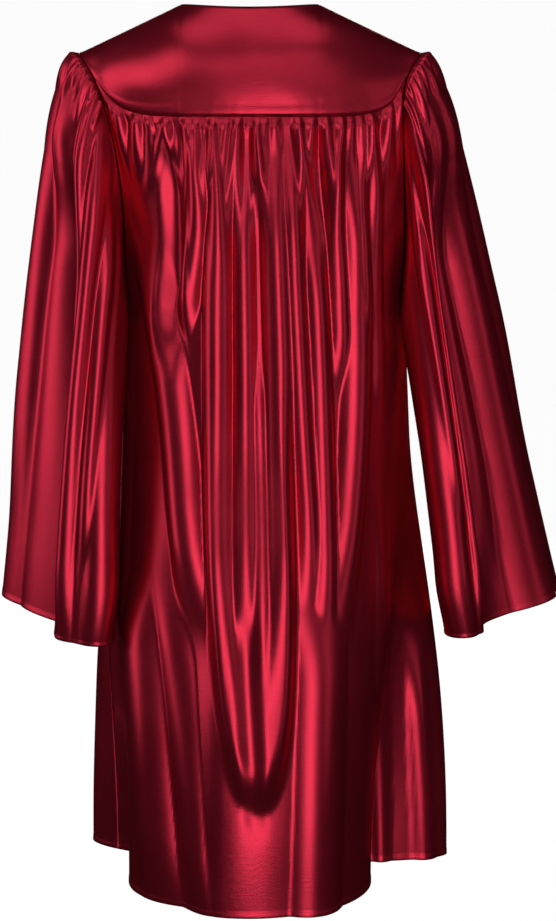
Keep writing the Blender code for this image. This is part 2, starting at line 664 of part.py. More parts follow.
def yoke_piece(name, shares, back, side=1):
    falls = np.linspace(0, 1, YOKE_ROWS + 1)[:, None]
    if back:
        left = yoke_point(np.abs(shares), falls, 1, True)
        right = yoke_point(np.abs(shares), falls, -1, True)
        points = np.where(shares[..., None] >= 0, left, right)
    else:
        points = yoke_point(shares, falls, side, False)
    level = seam_normals(shares, back, side)
    if not back and side > 0:
        points, level = points[:, ::-1], level[:, ::-1]
    normals = grid_normals(points)
    normals[-1] = level[0]
    on_shoulder = np.abs(points[0, :, 0]) >= NECK_SIDE
    normals[0, on_shoulder, 1] = 0
    normals = normals / np.linalg.norm(normals, axis=-1, keepdims=True)
    cloth_piece(name, points, normals, satin(name + "_satin"))


def body_pieces():
    drops = np.array(PANEL_ROWS)[:, None]
    shares = panel_shares(True)
    panel_piece("back_panel", shares, drops, True)
    yoke_piece("yoke_back", shares[:1], True)
    for side, word in ((1, "left"), (-1, "right")):
        shares = panel_shares(False, side)
        panel_piece("front_" + word, shares, drops, False, side)
        yoke_piece("yoke_front_" + word, shares[:1], False, side)


def sleeve_piece(row, folds, word):
    angles = np.linspace(0, 2 * math.pi, SLEEVE_COLUMNS + 1)
    if row[0] > 0:
        angles = angles[::-1]
    points = sleeve_point(angles[None, :], np.array(SLEEVE_ROWS)[:, None], row, folds)
    points[:, -1] = points[:, 0]
    name = "sleeve_" + word
    cloth_piece(name, points, grid_normals(points, ring=True), satin(name + "_satin"))


def satin(name):
    return new_material(name, SATIN, 0.34, 0.25)


def zip_line(x, side=1):
    """The gown's middle front from the neck to the end of the zip, x beside the middle."""
    shares = panel_shares(False, side)[:ZIP_ROWS, :1]
    falls = np.linspace(0, 1, YOKE_ROWS + 1)[TAPE_FIRST_ROW:-1, None]
    yoke = yoke_point(shares[:1], falls, side, False)
    panel = signed_point(shares, np.array(PANEL_ROWS)[:ZIP_ROWS, None], False, side)[0]
    line = np.concatenate([yoke, panel])[:, 0]
    line[:, 0] = x
    return line


def zip_normals(line):
    """Outward directions along the middle front."""
    along = np.gradient(line, axis=0)
    normal = np.stack([0 * line[:, 0], along[:, 2], -along[:, 1]], axis=-1)
    return normal / np.linalg.norm(normal, axis=-1, keepdims=True)


def tape_piece(side, word):
    """A strip behind a front edge, made from the front's own points."""
    shares = panel_shares(False, side)[:ZIP_ROWS, :2]
    falls = np.linspace(0, 1, YOKE_ROWS + 1)[TAPE_FIRST_ROW:-1, None]
    yoke = yoke_point(shares[:1], falls, side, False)
    panel = signed_point(shares, np.array(PANEL_ROWS)[:ZIP_ROWS, None], False, side)[0]
    points = np.concatenate([yoke, panel])
    inner = points[:, :1].copy()
    inner[..., 0] = side * TAPE_INSET
    points = np.concatenate([inner, points], axis=1)
    normals = np.repeat(zip_normals(zip_line(0))[:, None], points.shape[1], axis=1)
    points = points - normals * (CLOTH + RUNNING_GAP)
    if side > 0:
        points = points[:, ::-1]
    tape = new_material("zip_tape_" + word, TAPE_COLOUR, 0.8, 0)
    cloth_piece("zip_tape_" + word, points, normals, tape, TAPE_WALL)


def coil_piece():
    """The closed teeth as one slightly rounded strip between the front edges."""
    line = zip_line(0)
    normals = zip_normals(line)
    places = ((0.5, 0), (0.25, COIL_CROWN), (-0.25, COIL_CROWN), (-0.5, 0))
    columns = []
    for across, lift in places:
        column = line + normals * (COIL_WALL - CLOTH + lift)
        column[:, 0] = COIL_WIDTH * across
        columns.append(column)
    coil = new_material("zip_coil", TAPE_COLOUR, 0.45, 0)
    normals = np.repeat(normals[:, None], len(places), axis=1)
    cloth_piece("zip_coil", np.stack(columns, axis=1), normals, coil, COIL_WALL)


def slider_place():
    """The slider's own axes: Z up along the zip and -Y out of the gown."""
    falls = np.array([SLIDER_PLACE - 0.02, SLIDER_PLACE, SLIDER_PLACE + 0.02])
    line = yoke_point(np.zeros(3), falls, 1, False)
    up = Vector((0, *(line[0] - line[2])[1:])).normalized()
    across = Vector((1, 0, 0))
    inward = up.cross(across)
    turn = Matrix((across, inward, up)).transposed().to_4x4()
    return Matrix.Translation((0, line[1][1], line[1][2])) @ turn


def block(name, size, centre, place, material, home=None):
    mesh = bmesh.new()
    bmesh.ops.create_cube(mesh, size=1)
    bmesh.ops.scale(mesh, vec=size, verts=mesh.verts)
    bmesh.ops.translate(mesh, vec=centre, verts=mesh.verts)
    data = bpy.data.meshes.new(name)
    mesh.to_mesh(data)
    mesh.free()
    data.materials.append(material)
    thing = bpy.data.objects.new(name, data)
    (home or gown).objects.link(thing)
    thing.matrix_world = place
    if home is cutters:
        thing.hide_render = True
        thing.display_type = "WIRE"
    return thing


def change(thing, tool, operation):
    step = thing.modifiers.new(tool.name, "BOOLEAN")
    step.operation = operation
    step.object = tool


def round_edges(thing, width):
    step = thing.modifiers.new("rounding", "BEVEL")
    step.width = width
    step.segments = 2


def slider_pieces():
    """The slider with its bridge, and the pull tab whose bar turns under the bridge."""
    metal = new_material("zip_metal", METAL_COLOUR, 0.3, 1)
    place = slider_place()
    base = COIL_WALL - CLOTH + COIL_CROWN + RUNNING_GAP
    face = base + SLIDER_SIZE[1]
    slider = block("zip_slider", SLIDER_SIZE, (0, -(base + face) / 2, 0), place, metal)
    bridge_size = (BRIDGE_SIZE[0], BRIDGE_SIZE[1] + BRIDGE_SUNK, BRIDGE_SIZE[2])
    bridge_y = -(face + (BRIDGE_SIZE[1] - BRIDGE_SUNK) / 2)
    bridge = block("bridge", bridge_size, (0, bridge_y, 0), place, metal, cutters)
    room = BRIDGE_SIZE[1] - BRIDGE_WALL
    room_size = (2 * BRIDGE_SIZE[0], room, BRIDGE_SIZE[2] - 2 * BRIDGE_WALL)
    under = block("room_under_bridge", room_size, (0, -(face + room / 2), 0), place, metal, cutters)
    round_edges(slider, SLIDER_ROUNDING)
    change(slider, bridge, "UNION")
    change(slider, under, "DIFFERENCE")
    hinge = place @ Matrix.Translation((0, -(face + room / 2), 0))
    wide, thick, long = PULL_SIZE
    top = PULL_BAR / 2
    pull = block("zip_pull", PULL_SIZE, (0, 0, top - long / 2), hinge, metal)
    hole_wide, hole_long = PULL_HOLE
    hole_size = (hole_wide, 3 * thick, hole_long)
    hole = block("pull_hole", hole_size, (0, 0, -top - hole_long / 2), hinge, metal, cutters)
    change(pull, hole, "DIFFERENCE")


for thing in list(bpy.data.objects):
    bpy.data.objects.remove(thing, do_unlink=True)

gown = bpy.data.collections.new("graduation_gown")
cutters = bpy.data.collections.new("cutters")
bpy.context.scene.collection.children.link(gown)
bpy.context.scene.collection.children.link(cutters)

body_pieces()
tape_piece(1, "left")
tape_piece(-1, "right")
sleeve_piece(SLEEVES[0], LEFT_SLEEVE_FOLDS, "left")
sleeve_piece(SLEEVES[1], RIGHT_SLEEVE_FOLDS, "right")
coil_piece()
slider_pieces()
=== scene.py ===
# Child's graduation gown in shiny deep red satin, filled out as worn and seen from behind.
import math

import bpy
import numpy as np
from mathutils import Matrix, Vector


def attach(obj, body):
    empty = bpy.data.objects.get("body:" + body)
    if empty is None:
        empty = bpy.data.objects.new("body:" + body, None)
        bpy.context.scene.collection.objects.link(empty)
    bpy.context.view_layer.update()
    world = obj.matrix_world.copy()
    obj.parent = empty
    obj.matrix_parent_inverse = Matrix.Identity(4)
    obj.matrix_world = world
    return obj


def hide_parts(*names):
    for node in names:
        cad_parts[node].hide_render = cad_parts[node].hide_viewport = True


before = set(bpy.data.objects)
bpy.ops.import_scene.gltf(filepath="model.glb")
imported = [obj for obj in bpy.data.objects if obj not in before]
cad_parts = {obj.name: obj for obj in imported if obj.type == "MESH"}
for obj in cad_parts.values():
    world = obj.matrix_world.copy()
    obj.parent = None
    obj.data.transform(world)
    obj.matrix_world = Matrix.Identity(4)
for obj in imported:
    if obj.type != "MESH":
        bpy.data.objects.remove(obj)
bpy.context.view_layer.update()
print("frame loaded")

# The gown's plain form. The panels, yokes and sleeves are all worked out from it.
bodyForm = {
    "hem": -0.838,
    "shoulderTip": (0.170, -0.048),
    "neckSide": 0.070,
    "neckBack": (0.052, -0.006),
    "neckFront": (-0.085, -0.075),
    "frontGap": 0.0045,
    "armholeWidest": -0.125,
    "armholeDepth": 0.065,
    "underarm": -0.300,
    "armholeSquare": 0.8,
    "corner": -0.075,  # where the yoke seams meet the armhole
    "backSeam": -0.115,
    "frontSeam": -0.127,
    "seamPower": 6,
    "cornerAngle": math.radians(54),
    "spread": (-0.17, -0.36),
    "lobesStart": -0.42,
    "axisY": 0.02,
    "backLobe": (0.118, 0.114),
    "frontLobe": (-0.090, 0.115),
    "valley": 0.098,
    "edgeEase": 0.91,
    "frontNeckShare": 0.45,
    "yokeRoundness": 0.42,
    "neckBlend": 0.16,
    "seamGap": 0.0005,
    "lobeBlend": 8,
    "columnPower": 6,
    "sampleTurn": 0.002,
    "seamGroove": (0.0011, 0.0035),  # depth and width, just below the yoke
}

# height, left edge x, right edge x, back depth, front depth
bodySections = np.array([
    (-0.838, 0.165, 0.188, 0.240, 0.205),
    (-0.600, 0.148, 0.171, 0.184, 0.163),
    (-0.450, 0.131, 0.160, 0.157, 0.143),
    (-0.300, 0.125, 0.154, 0.134, 0.127),
    (-0.240, 0.122, 0.151, 0.123, 0.122),
    (-0.180, 0.126, 0.150, 0.112, 0.117),
    (-0.120, 0.137, 0.149, 0.101, 0.110),
    (-0.075, 0.153, 0.153, 0.092, 0.100),
    (-0.048, 0.170, 0.170, 0.088, 0.095),
])

# side, flank to the back, flank to the front, softness, radius
sideLobes = [
    (1, math.radians(90), math.radians(122), math.radians(14), 0.162),
    (-1, math.radians(75), math.radians(118), math.radians(11), 0.194),
]


def ramp(start, end, value):
    share = np.clip((value - start) / (end - start), 0, 1)
    return share * share * (3 - 2 * share)


def sectionColumn(column, height):
    knots, values = bodySections[:, 0], bodySections[:, column]
    slopes = np.gradient(values, knots)
    height = np.clip(height, knots[0], knots[-1])
    cell = np.clip(np.searchsorted(knots, height) - 1, 0, len(knots) - 2)
    step = knots[cell + 1] - knots[cell]
    t = (height - knots[cell]) / step
    start = (1 + 2 * t) * (1 - t) ** 2 * values[cell] + t * (1 - t) ** 2 * step * slopes[cell]
    end = t * t * (3 - 2 * t) * values[cell + 1] + t * t * (t - 1) * step * slopes[cell + 1]
    return start + end


def sideX(height, side):
    return sectionColumn(1 if side > 0 else 2, height)


def depthAt(height, back):
    return sectionColumn(3 if back else 4, height)


def armholeY(height):
    form = bodyForm
    upper = (height - form["armholeWidest"]) / (form["shoulderTip"][1] - form["armholeWidest"])
    lower = (form["armholeWidest"] - height) / (form["armholeWidest"] - form["underarm"])
    power = 2 / form["armholeSquare"]
    top = (1 - np.clip(upper, 0, 1) ** power) ** (1 / power)
    bottom = np.sqrt(1 - np.clip(lower, 0, 1) ** 2)
    return form["armholeDepth"] * np.where(height > form["armholeWidest"], top, bottom)


def armholePoint(angle, side):
    form = bodyForm
    rise, reach = np.cos(angle), np.sin(angle)
    squarer = np.sign(rise) * np.abs(rise) ** form["armholeSquare"]
    wider = np.sign(reach) * np.abs(reach) ** form["armholeSquare"]
    upper = rise > 0
    top = (form["shoulderTip"][1] - form["armholeWidest"]) * squarer
    low = (form["armholeWidest"] - form["underarm"]) * rise
    height = form["armholeWidest"] + np.where(upper, top, low)
    y = form["armholeDepth"] * np.where(upper, wider, reach)
    return np.stack([side * sideX(height, side), y, height], axis=-1)


def hemRadius(angle, side, back):
    centreY, radius = bodyForm["backLobe"] if back else bodyForm["frontLobe"]
    away = abs(centreY - bodyForm["axisY"])
    root = np.maximum(radius ** 2 - (away * np.sin(angle)) ** 2, 0)
    lobe = away * np.cos(angle) + np.sqrt(root)
    blend = bodyForm["lobeBlend"]
    lobe = (lobe ** blend + bodyForm["valley"] ** blend) ** (1 / blend)
    fromBack = angle if back else math.pi - angle
    for rowSide, flank, farFlank, soft, reach in sideLobes:
        share = ramp(flank - soft, flank + soft, fromBack)
        share = share * (1 - ramp(farFlank - soft, farFlank + soft, fromBack))
        lobe = np.where(side == rowSide, lobe + (reach - lobe) * share, lobe)
    return lobe


def edgeAngle(height, back):
    share = np.clip(armholeY(height) / depthAt(height, back), 0, 1)
    return np.where(height > bodyForm["underarm"], np.arccos(share), math.pi / 2)


def sectionPoint(angle, height, side, back):
    width = sideX(height, side) / np.sin(edgeAngle(height, back))
    turn = 1 if back else -1
    share = ramp(bodyForm["lobesStart"], bodyForm["hem"], height)
    radius = hemRadius(angle, side, back)
    x = width * np.sin(angle) * (1 - share) + radius * np.sin(angle) * share
    y = turn * depthAt(height, back) * np.cos(angle) * (1 - share)
    y = y + (bodyForm["axisY"] + turn * radius * np.cos(angle)) * share
    return np.stack([side * x, y, height + 0 * x], axis=-1)


# Folds. x at the top, x half way, x at the foot, top height, foot height, half width, rise
backFolds = [
    (0.102, 0.0660, 0.058, -0.230, -0.620, 0.0180, 0.0125),
    (0.046, 0.0500, 0.073, -0.125, -0.340, 0.0140, 0.0105),
    (0.028, 0.0300, 0.024, -0.125, -0.660, 0.0150, 0.0130),
    (0.008, 0.0050, 0.004, -0.150, -0.620, 0.0115, 0.0075),
    (-0.006, -0.0100, -0.010, -0.330, -0.640, 0.0090, 0.0045),
    (-0.020, -0.0280, -0.027, -0.125, -0.660, 0.0150, 0.0130),
    (-0.037, -0.0455, -0.060, -0.130, -0.600, 0.0130, 0.0115),
    (-0.057, -0.0670, -0.069, -0.200, -0.640, 0.0130, 0.0105),
    (-0.076, -0.0840, -0.086, -0.130, -0.390, 0.0110, 0.0085),
    (-0.094, -0.1000, -0.076, -0.140, -0.620, 0.0160, 0.0130),
    (-0.068, -0.0620, -0.054, -0.540, -1.000, 0.0240, 0.0110),
    (0.112, 0.0975, 0.083, -0.540, -0.870, 0.0175, 0.0085),
    (0.080, 0.0635, 0.048, -0.540, -0.870, 0.0170, 0.0080),
    (0.062, 0.0700, 0.070, -0.480, -1.060, 0.0460, -0.0130),
    (0.076, 0.0720, 0.073, -0.140, -0.370, 0.0160, -0.0080),
    (-0.160, -0.1700, -0.176, -0.620, -1.000, 0.0120, 0.0050),
    (0.140, 0.1430, 0.146, -0.600, -1.000, 0.0090, 0.0040),
    (0.004, 0.0000, -0.006, -0.560, -0.775, 0.0140, -0.0050),
]
# The drape is one broad rounded fold with a flat face that ends above the hem.
drapeForm = {"middle": 0.001, "lean": -0.030, "halfWidth": 0.041, "start": -0.480, "foot": -0.752,
             "fade": (-0.340, -0.560), "shoulder": 0.55, "rise": 0.0140}

# Smaller creases of the satin between the folds, in the same columns.
backCreases = [
    (0.099, 0.0960, 0.100, -0.128, -0.190, 0.006, 0.0020),
    (0.086, 0.0900, 0.098, -0.130, -0.185, 0.005, 0.0018),
    (0.076, 0.0700, 0.060, -0.124, -0.200, 0.006, 0.0018),
    (0.066, 0.0620, 0.058, -0.126, -0.300, 0.006, 0.0018),
    (-0.004, -0.0070, -0.009, -0.122, -0.186, 0.005, 0.0024),
    (-0.112, -0.1060, -0.110, -0.135, -0.330, 0.006, 0.0026),
    (-0.124, -0.1220, -0.128, -0.140, -0.420, 0.007, 0.0030),
    (-0.127, -0.1270, -0.130, -0.460, -1.000, 0.009, 0.0040),
    (0.118, 0.1200, 0.126, -0.260, -0.700, 0.007, 0.0030),
]

frontFolds = [
    (0.118, 0.0900, 0.076, -0.150, -0.700, 0.015, 0.0080),
    (0.094, 0.0700, 0.050, -0.130, -0.500, 0.012, 0.0070),
    (0.060, 0.0500, 0.040, -0.130, -0.860, 0.015, 0.0090),
    (0.034, 0.0280, 0.026, -0.135, -0.640, 0.012, 0.0060),
    (-0.032, -0.0300, -0.034, -0.135, -0.720, 0.012, 0.0070),
    (-0.058, -0.0600, -0.054, -0.130, -0.560, 0.013, 0.0075),
    (-0.086, -0.0780, -0.070, -0.130, -0.860, 0.015, 0.0090),
    (-0.114, -0.1000, -0.098, -0.150, -0.600, 0.013, 0.0070),
]

frontCreases = [
    (0.080, 0.0720, 0.062, -0.140, -0.420, 0.007, 0.0020),
    (0.046, 0.0420, 0.036, -0.140, -0.360, 0.006, 0.0018),
    (0.104, 0.0980, 0.090, -0.140, -0.300, 0.006, 0.0018),
    (-0.046, -0.0440, -0.040, -0.140, -0.400, 0.006, 0.0018),
    (-0.072, -0.0660, -0.060, -0.140, -0.330, 0.006, 0.0020),
    (-0.100, -0.0920, -0.086, -0.140, -0.450, 0.007, 0.0020),
    (0.104, 0.1100, 0.116, -0.440, -0.900, 0.012, 0.0035),
    (-0.110, -0.1160, -0.120, -0.440, -0.900, 0.012, 0.0035),
]

# Gathers along the yoke seams. first x, last x, count, length
backGathers = [
    (0.148, 0.126, 4, 0.070),
    (0.117, 0.098, 3, 0.055),
    (0.090, 0.070, 3, 0.030),
    (0.060, 0.021, 6, 0.100),
    (0.012, -0.024, 5, 0.085),
    (-0.045, -0.058, 3, 0.075),
    (-0.072, -0.104, 5, 0.095),
    (-0.115, -0.144, 4, 0.070),
]
frontGathers = [(0.034, 0.066, 7, 0.080), (0.082, 0.142, 12, 0.070)]
gatherForm = {"rise": 0.0062, "width": 0.0070, "uneven": 0.75, "slant": 0.12, "shift": 0.0012,
              "riseUneven": 0.35, "widen": 0.5, "atSeam": 0.12, "full": 0.010, "taper": 0.1,
              "roundness": 1.1, "blend": 8}

# How folds begin and end, in shares of their length or in metres, and how they run together.
foldForm = {"roundness": 1.05, "blend": 12, "fadeIn": (-0.02, 0.22), "fadeOut": (1.02, 0.72),
            "belowSeam": 0.035, "creaseBelowSeam": 0.012, "besideZip": (0.014, 0.026)}


def foldProfile(across):
    # Cloth that hangs in a round ridge and falls steeply into the valley beside it.
    return (1 - across ** 2) ** foldForm["roundness"]


def foldHeight(rows, x, height):
    ridges, troughs = 0, 0
    for topX, middleX, footX, top, foot, width, rise in rows:
        t = (height - top) / (foot - top)
        near = np.clip(t, 0, 1)
        centre = topX * (1 - near) * (1 - 2 * near) + 4 * middleX * near * (1 - near)
        centre = centre + footX * near * (2 * near - 1)
        across = np.clip((x - centre) / width, -1, 1)
        along = ramp(*foldForm["fadeIn"], t) * ramp(*foldForm["fadeOut"], t)
        if rise > 0:
            ridges = ridges + (rise * foldProfile(across) * along) ** foldForm["blend"]
        else:
            troughs = troughs - rise * np.cos(across * math.pi / 2) ** 2 * along
    return ridges ** (1 / foldForm["blend"]) - troughs


def drapeHeight(x, height):
    form = drapeForm
    fall = np.clip((height - form["start"]) / (form["foot"] - form["start"]), 0, None)
    middle = form["middle"] + form["lean"] * (form["start"] - height)
    inside = 1 - ((x - middle) / form["halfWidth"]) ** 2 - fall ** 4
    return form["rise"] * ramp(0, form["shoulder"], inside) * ramp(*form["fade"], height)


def gatherPlaces(rows):
    form = gatherForm
    places = []
    for first, last, count, length in rows:
        for number in range(count):
            x = first + (last - first) * number / max(count - 1, 1)
            uneven = math.cos(2.4 * len(places))
            x = x + form["shift"] * math.sin(5.1 * len(places))
            reach = length * (1 + form["uneven"] * uneven)
            slant = form["slant"] * math.sin(1.7 * len(places) + 0.6)
            places.append((x, slant, reach, form["rise"] * (1 + form["riseUneven"] * uneven)))
    return places


def gatherHeight(places, x, drop):
    form = gatherForm
    total = 0
    for centre, slant, length, rise in places:
        width = form["width"] * (1 + form["widen"] * np.clip(drop / length, 0, 1))
        across = np.clip((x - centre - slant * drop) / width, -1, 1)
        along = form["atSeam"] + (1 - form["atSeam"]) * ramp(0, form["full"], drop)
        along = along * ramp(length, form["taper"] * length, drop)
        total = total + (rise * (1 - across ** 2) ** form["roundness"] * along) ** form["blend"]
    return total ** (1 / form["blend"])


def wander(x, height, start, size=0.00025):
    # Slow unevenness, so that no streak of light is ruler straight.
    total = np.sin(61 * x + 9 * height + start) + 0.8 * np.sin(23 * height - 17 * x + 2 * start)
    total = total + 0.7 * np.sin(94 * x - 21 * height + 3 * start)
    return size * (total + 0.5 * np.sin(47 * height + 33 * x + start))


backPlaces = gatherPlaces(backGathers)
frontPlaces = gatherPlaces(frontGathers)


def seamHeight(share, back):
    middle = bodyForm["backSeam"] if back else bodyForm["frontSeam"]
    return middle + (bodyForm["corner"] - middle) * np.abs(share) ** bodyForm["seamPower"]


def bodyPoint(share, height, side, back, folded=True):
    share = np.broadcast_to(share, np.broadcast(share, height).shape)
    limit = edgeAngle(height, back)
    first = 0 if back else np.arcsin(bodyForm["frontGap"] / sideX(height, side) * np.sin(limit))
    corner = bodyForm["cornerAngle"]
    eased = corner + (math.pi / 2 - corner) * ramp(*bodyForm["spread"], height)
    eased = eased + (limit - eased) * share ** bodyForm["columnPower"]
    angle = first + (eased - first) * share
    plain = sectionPoint(angle, height, side, back)
    if not folded:
        return plain
    along = sectionPoint(angle + bodyForm["sampleTurn"], height, side, back)
    along = along - sectionPoint(angle - bodyForm["sampleTurn"], height, side, back)
    turn = side if back else -side
    normal = np.stack([-turn * along[..., 1], turn * along[..., 0], 0 * along[..., 2]], axis=-1)
    normal = normal / np.linalg.norm(normal, axis=-1, keepdims=True)
    x = plain[..., 0]
    drop = np.maximum(seamHeight(share, back) - height, 0)
    start = ramp(0, foldForm["belowSeam"], drop)
    crease = ramp(0, foldForm["creaseBelowSeam"], drop)
    if back:
        lift = foldHeight(backFolds, x, height) * start
        lift = lift + foldHeight(backCreases, x, height) * crease + drapeHeight(x, height)
        lift = lift + gatherHeight(backPlaces, x, drop) + wander(x, height, 1.0) * start
    else:
        lift = foldHeight(frontFolds, x, height) * start
        lift = lift + foldHeight(frontCreases, x, height) * crease
        lift = lift + gatherHeight(frontPlaces, np.abs(x), drop) + wander(x, height, 2.0) * start
        lift = lift * ramp(*foldForm["besideZip"], np.abs(x))
    lift = lift * ramp(1.0, bodyForm["edgeEase"], share)
    depth, width = bodyForm["seamGroove"]
    lift = lift + hemRelief(height - bodyForm["hem"]) - depth * np.exp(-(drop / width) ** 2)
    return plain + normal * lift[..., None]


hemForm = {"stitches": 0.0046, "grooveWidth": 0.0009, "grooveDepth": 0.0003, "proud": 0.0004,
           "step": (0.0062, 0.0048)}


def hemRelief(above):
    # The turned-up hem stands a little proud, with a groove at its stitches.
    groove = np.exp(-((above - hemForm["stitches"]) / hemForm["grooveWidth"]) ** 2)
    return hemForm["proud"] * ramp(*hemForm["step"], above) - hemForm["grooveDepth"] * groove


def panelHeight(share, drop, back):
    middle = bodyForm["backSeam"] if back else bodyForm["frontSeam"]
    seam = seamHeight(share, back)
    level = ramp(0, -bodyForm["underarm"] + middle, drop)
    scale = (bodyForm["hem"] - middle) / (bodyForm["hem"] - bodyForm["backSeam"])
    return (seam - bodyForm["seamGap"] - drop) * (1 - level) + (middle - drop * scale) * level


def signedPoint(shares, drops, back, side=1):
    heights = panelHeight(shares, drops, back)
    if not back:
        return bodyPoint(shares, heights, side, False)
    left = bodyPoint(np.abs(shares), heights, 1, True)
    right = bodyPoint(np.abs(shares), heights, -1, True)
    return np.where(shares[..., None] >= 0, left, right)


# Materials
satinLook = {
    "deep": (0.38, 0.013, 0.032),
    "bright": (0.46, 0.019, 0.043),
    "roughness": (0.28, 0.34),
    "metallic": 0.84,
    "anisotropic": 0.4,
    "specular": 0.5,
    "edge": (0.85, 0.30, 0.38),
    "threads": 900,  # to the metre
    "threadStretch": 12,
    "weave": 0.15,
    "weaveDepth": 0.0003,
    "slubs": (60, 900, 1),
    "slubBump": 0.12,
    "slubDepth": 0.0006,
    "clouds": 14,
}


def newMaterial(name, roughness, metallic):
    material = bpy.data.materials.new(name)
    material.use_nodes = True
    shader = material.node_tree.nodes["Principled BSDF"]
    shader.inputs["Roughness"].default_value = roughness
    shader.inputs["Metallic"].default_value = metallic
    return material, material.node_tree.nodes, material.node_tree.links, shader


def colourRamp(nodes, stops):
    node = nodes.new("ShaderNodeValToRGB")
    elements = node.color_ramp.elements
    while len(elements) < len(stops):
        elements.new(0.5)
    for element, (place, colour) in zip(elements, stops):
        element.position = place
        element.color = (*colour, 1)
    return node


def noiseNode(nodes, links, source, scale, detail):
    noise = nodes.new("ShaderNodeTexNoise")
    noise.inputs["Scale"].default_value = scale
    noise.inputs["Detail"].default_value = detail
    links.new(source, noise.inputs["Vector"])
    return noise


def stretchedNoise(nodes, links, source, stretch, detail):
    run = nodes.new("ShaderNodeMapping")
    run.inputs["Scale"].default_value = stretch
    links.new(source, run.inputs["Vector"])
    return noiseNode(nodes, links, run.outputs["Vector"], 1, detail)


def bumpNode(nodes, links, height, strength, distance):
    bump = nodes.new("ShaderNodeBump")
    bump.inputs["Strength"].default_value = strength
    bump.inputs["Distance"].default_value = distance
    links.new(height, bump.inputs["Height"])
    return bump


def satinMaterial(name):
    look = satinLook
    material, nodes, links, shader = newMaterial(name, 0.32, look["metallic"])
    shader.inputs["Anisotropic"].default_value = look["anisotropic"]
    shader.inputs["Specular IOR Level"].default_value = look["specular"]
    shader.inputs["Specular Tint"].default_value = (*look["edge"], 1)
    cloth = nodes.new("ShaderNodeUVMap")
    cloth.uv_map = "cloth"
    # warp and weft: threads that run down and across the cloth's own measure
    close, wide = look["threads"], look["threads"] / look["threadStretch"]
    warp = stretchedNoise(nodes, links, cloth.outputs["UV"], (close, wide, 1), 2)
    weft = stretchedNoise(nodes, links, cloth.outputs["UV"], (wide, close, 1), 2)
    weave = nodes.new("ShaderNodeMath")
    weave.operation = "ADD"
    links.new(warp.outputs["Fac"], weave.inputs[0])
    links.new(weft.outputs["Fac"], weave.inputs[1])
    # slubs: long uneven threads across the cloth
    slub = stretchedNoise(nodes, links, cloth.outputs["UV"], look["slubs"], 3)
    place = nodes.new("ShaderNodeTexCoord")
    cloud = noiseNode(nodes, links, place.outputs["Object"], look["clouds"], 4)
    blend = nodes.new("ShaderNodeMath")
    blend.operation = "MULTIPLY_ADD"
    blend.inputs[1].default_value = 0.5
    links.new(slub.outputs["Fac"], blend.inputs[0])
    half = nodes.new("ShaderNodeMath")
    half.operation = "MULTIPLY"
    half.inputs[1].default_value = 0.5
    links.new(cloud.outputs["Fac"], half.inputs[0])
    links.new(half.outputs["Value"], blend.inputs[2])
    tint = colourRamp(nodes, [(0.35, look["deep"]), (0.65, look["bright"])])
    links.new(blend.outputs["Value"], tint.inputs["Fac"])
    links.new(tint.outputs["Color"], shader.inputs["Base Color"])
    gloss = nodes.new("ShaderNodeMapRange")
    gloss.inputs["From Min"].default_value = 0.3
    gloss.inputs["From Max"].default_value = 0.7
    gloss.inputs["To Min"].default_value = look["roughness"][0]
    gloss.inputs["To Max"].default_value = look["roughness"][1]
    links.new(blend.outputs["Value"], gloss.inputs["Value"])
    links.new(gloss.outputs["Result"], shader.inputs["Roughness"])
    threadBump = bumpNode(nodes, links, weave.outputs["Value"], look["weave"], look["weaveDepth"])
    slubBump = bumpNode(nodes, links, slub.outputs["Fac"], look["slubBump"], look["slubDepth"])
    links.new(threadBump.outputs["Normal"], slubBump.inputs["Normal"])
    links.new(slubBump.outputs["Normal"], shader.inputs["Normal"])
    return material


def plainWeave(name, deep, bright, scale, roughness):
    material, nodes, links, shader = newMaterial(name, roughness, 0)
    place = nodes.new("ShaderNodeTexCoord")
    noise = noiseNode(nodes, links, place.outputs["Object"], scale, 3)
    tint = colourRamp(nodes, [(0.35, deep), (0.65, bright)])
    links.new(noise.outputs["Fac"], tint.inputs["Fac"])
    links.new(tint.outputs["Color"], shader.inputs["Base Color"])
    bump = bumpNode(nodes, links, noise.outputs["Fac"], 0.3, 0.0003)
    links.new(bump.outputs["Normal"], shader.inputs["Normal"])
    return material


def enamelMetal(name):
    material, nodes, links, shader = newMaterial(name, 0.3, 0.7)
    place = nodes.new("ShaderNodeTexCoord")
    noise = noiseNode(nodes, links, place.outputs["Object"], 900, 4)
    tint = colourRamp(nodes, [(0.3, (0.24, 0.014, 0.030)), (0.7, (0.34, 0.020, 0.044))])
    links.new(noise.outputs["Fac"], tint.inputs["Fac"])
    links.new(tint.outputs["Color"], shader.inputs["Base Color"])
    wear = nodes.new("ShaderNodeMapRange")
    wear.inputs["To Min"].default_value = 0.22
    wear.inputs["To Max"].default_value = 0.42
    links.new(noise.outputs["Fac"], wear.inputs["Value"])
    links.new(wear.outputs["Result"], shader.inputs["Roughness"])
    return material


satin = satinMaterial("satin")
thread = plainWeave("thread", (0.16, 0.006, 0.020), (0.26, 0.010, 0.032), 2500, 0.6)
tapeCloth = plainWeave("tape", (0.13, 0.006, 0.018), (0.18, 0.010, 0.026), 1800, 0.8)
nylon = plainWeave("nylon", (0.15, 0.008, 0.020), (0.21, 0.012, 0.030), 600, 0.4)
enamel = enamelMetal("enamel")
print("materials made")


# Cloth shells
shellForm = {
    "wall": 0.0008,
    "backColumns": 280,
    "frontColumns": 104,
    "panelRows": 168,
    "yokeRows": 34,
    "sleeveColumns": 190,
    "sleeveRows": 150,
    "yokeColumns": 160,
    "frontYokeColumns": 80,
    "edgeShare": 0.999,
    "allowance": (0.0007, 0.003),  # inward and up
}


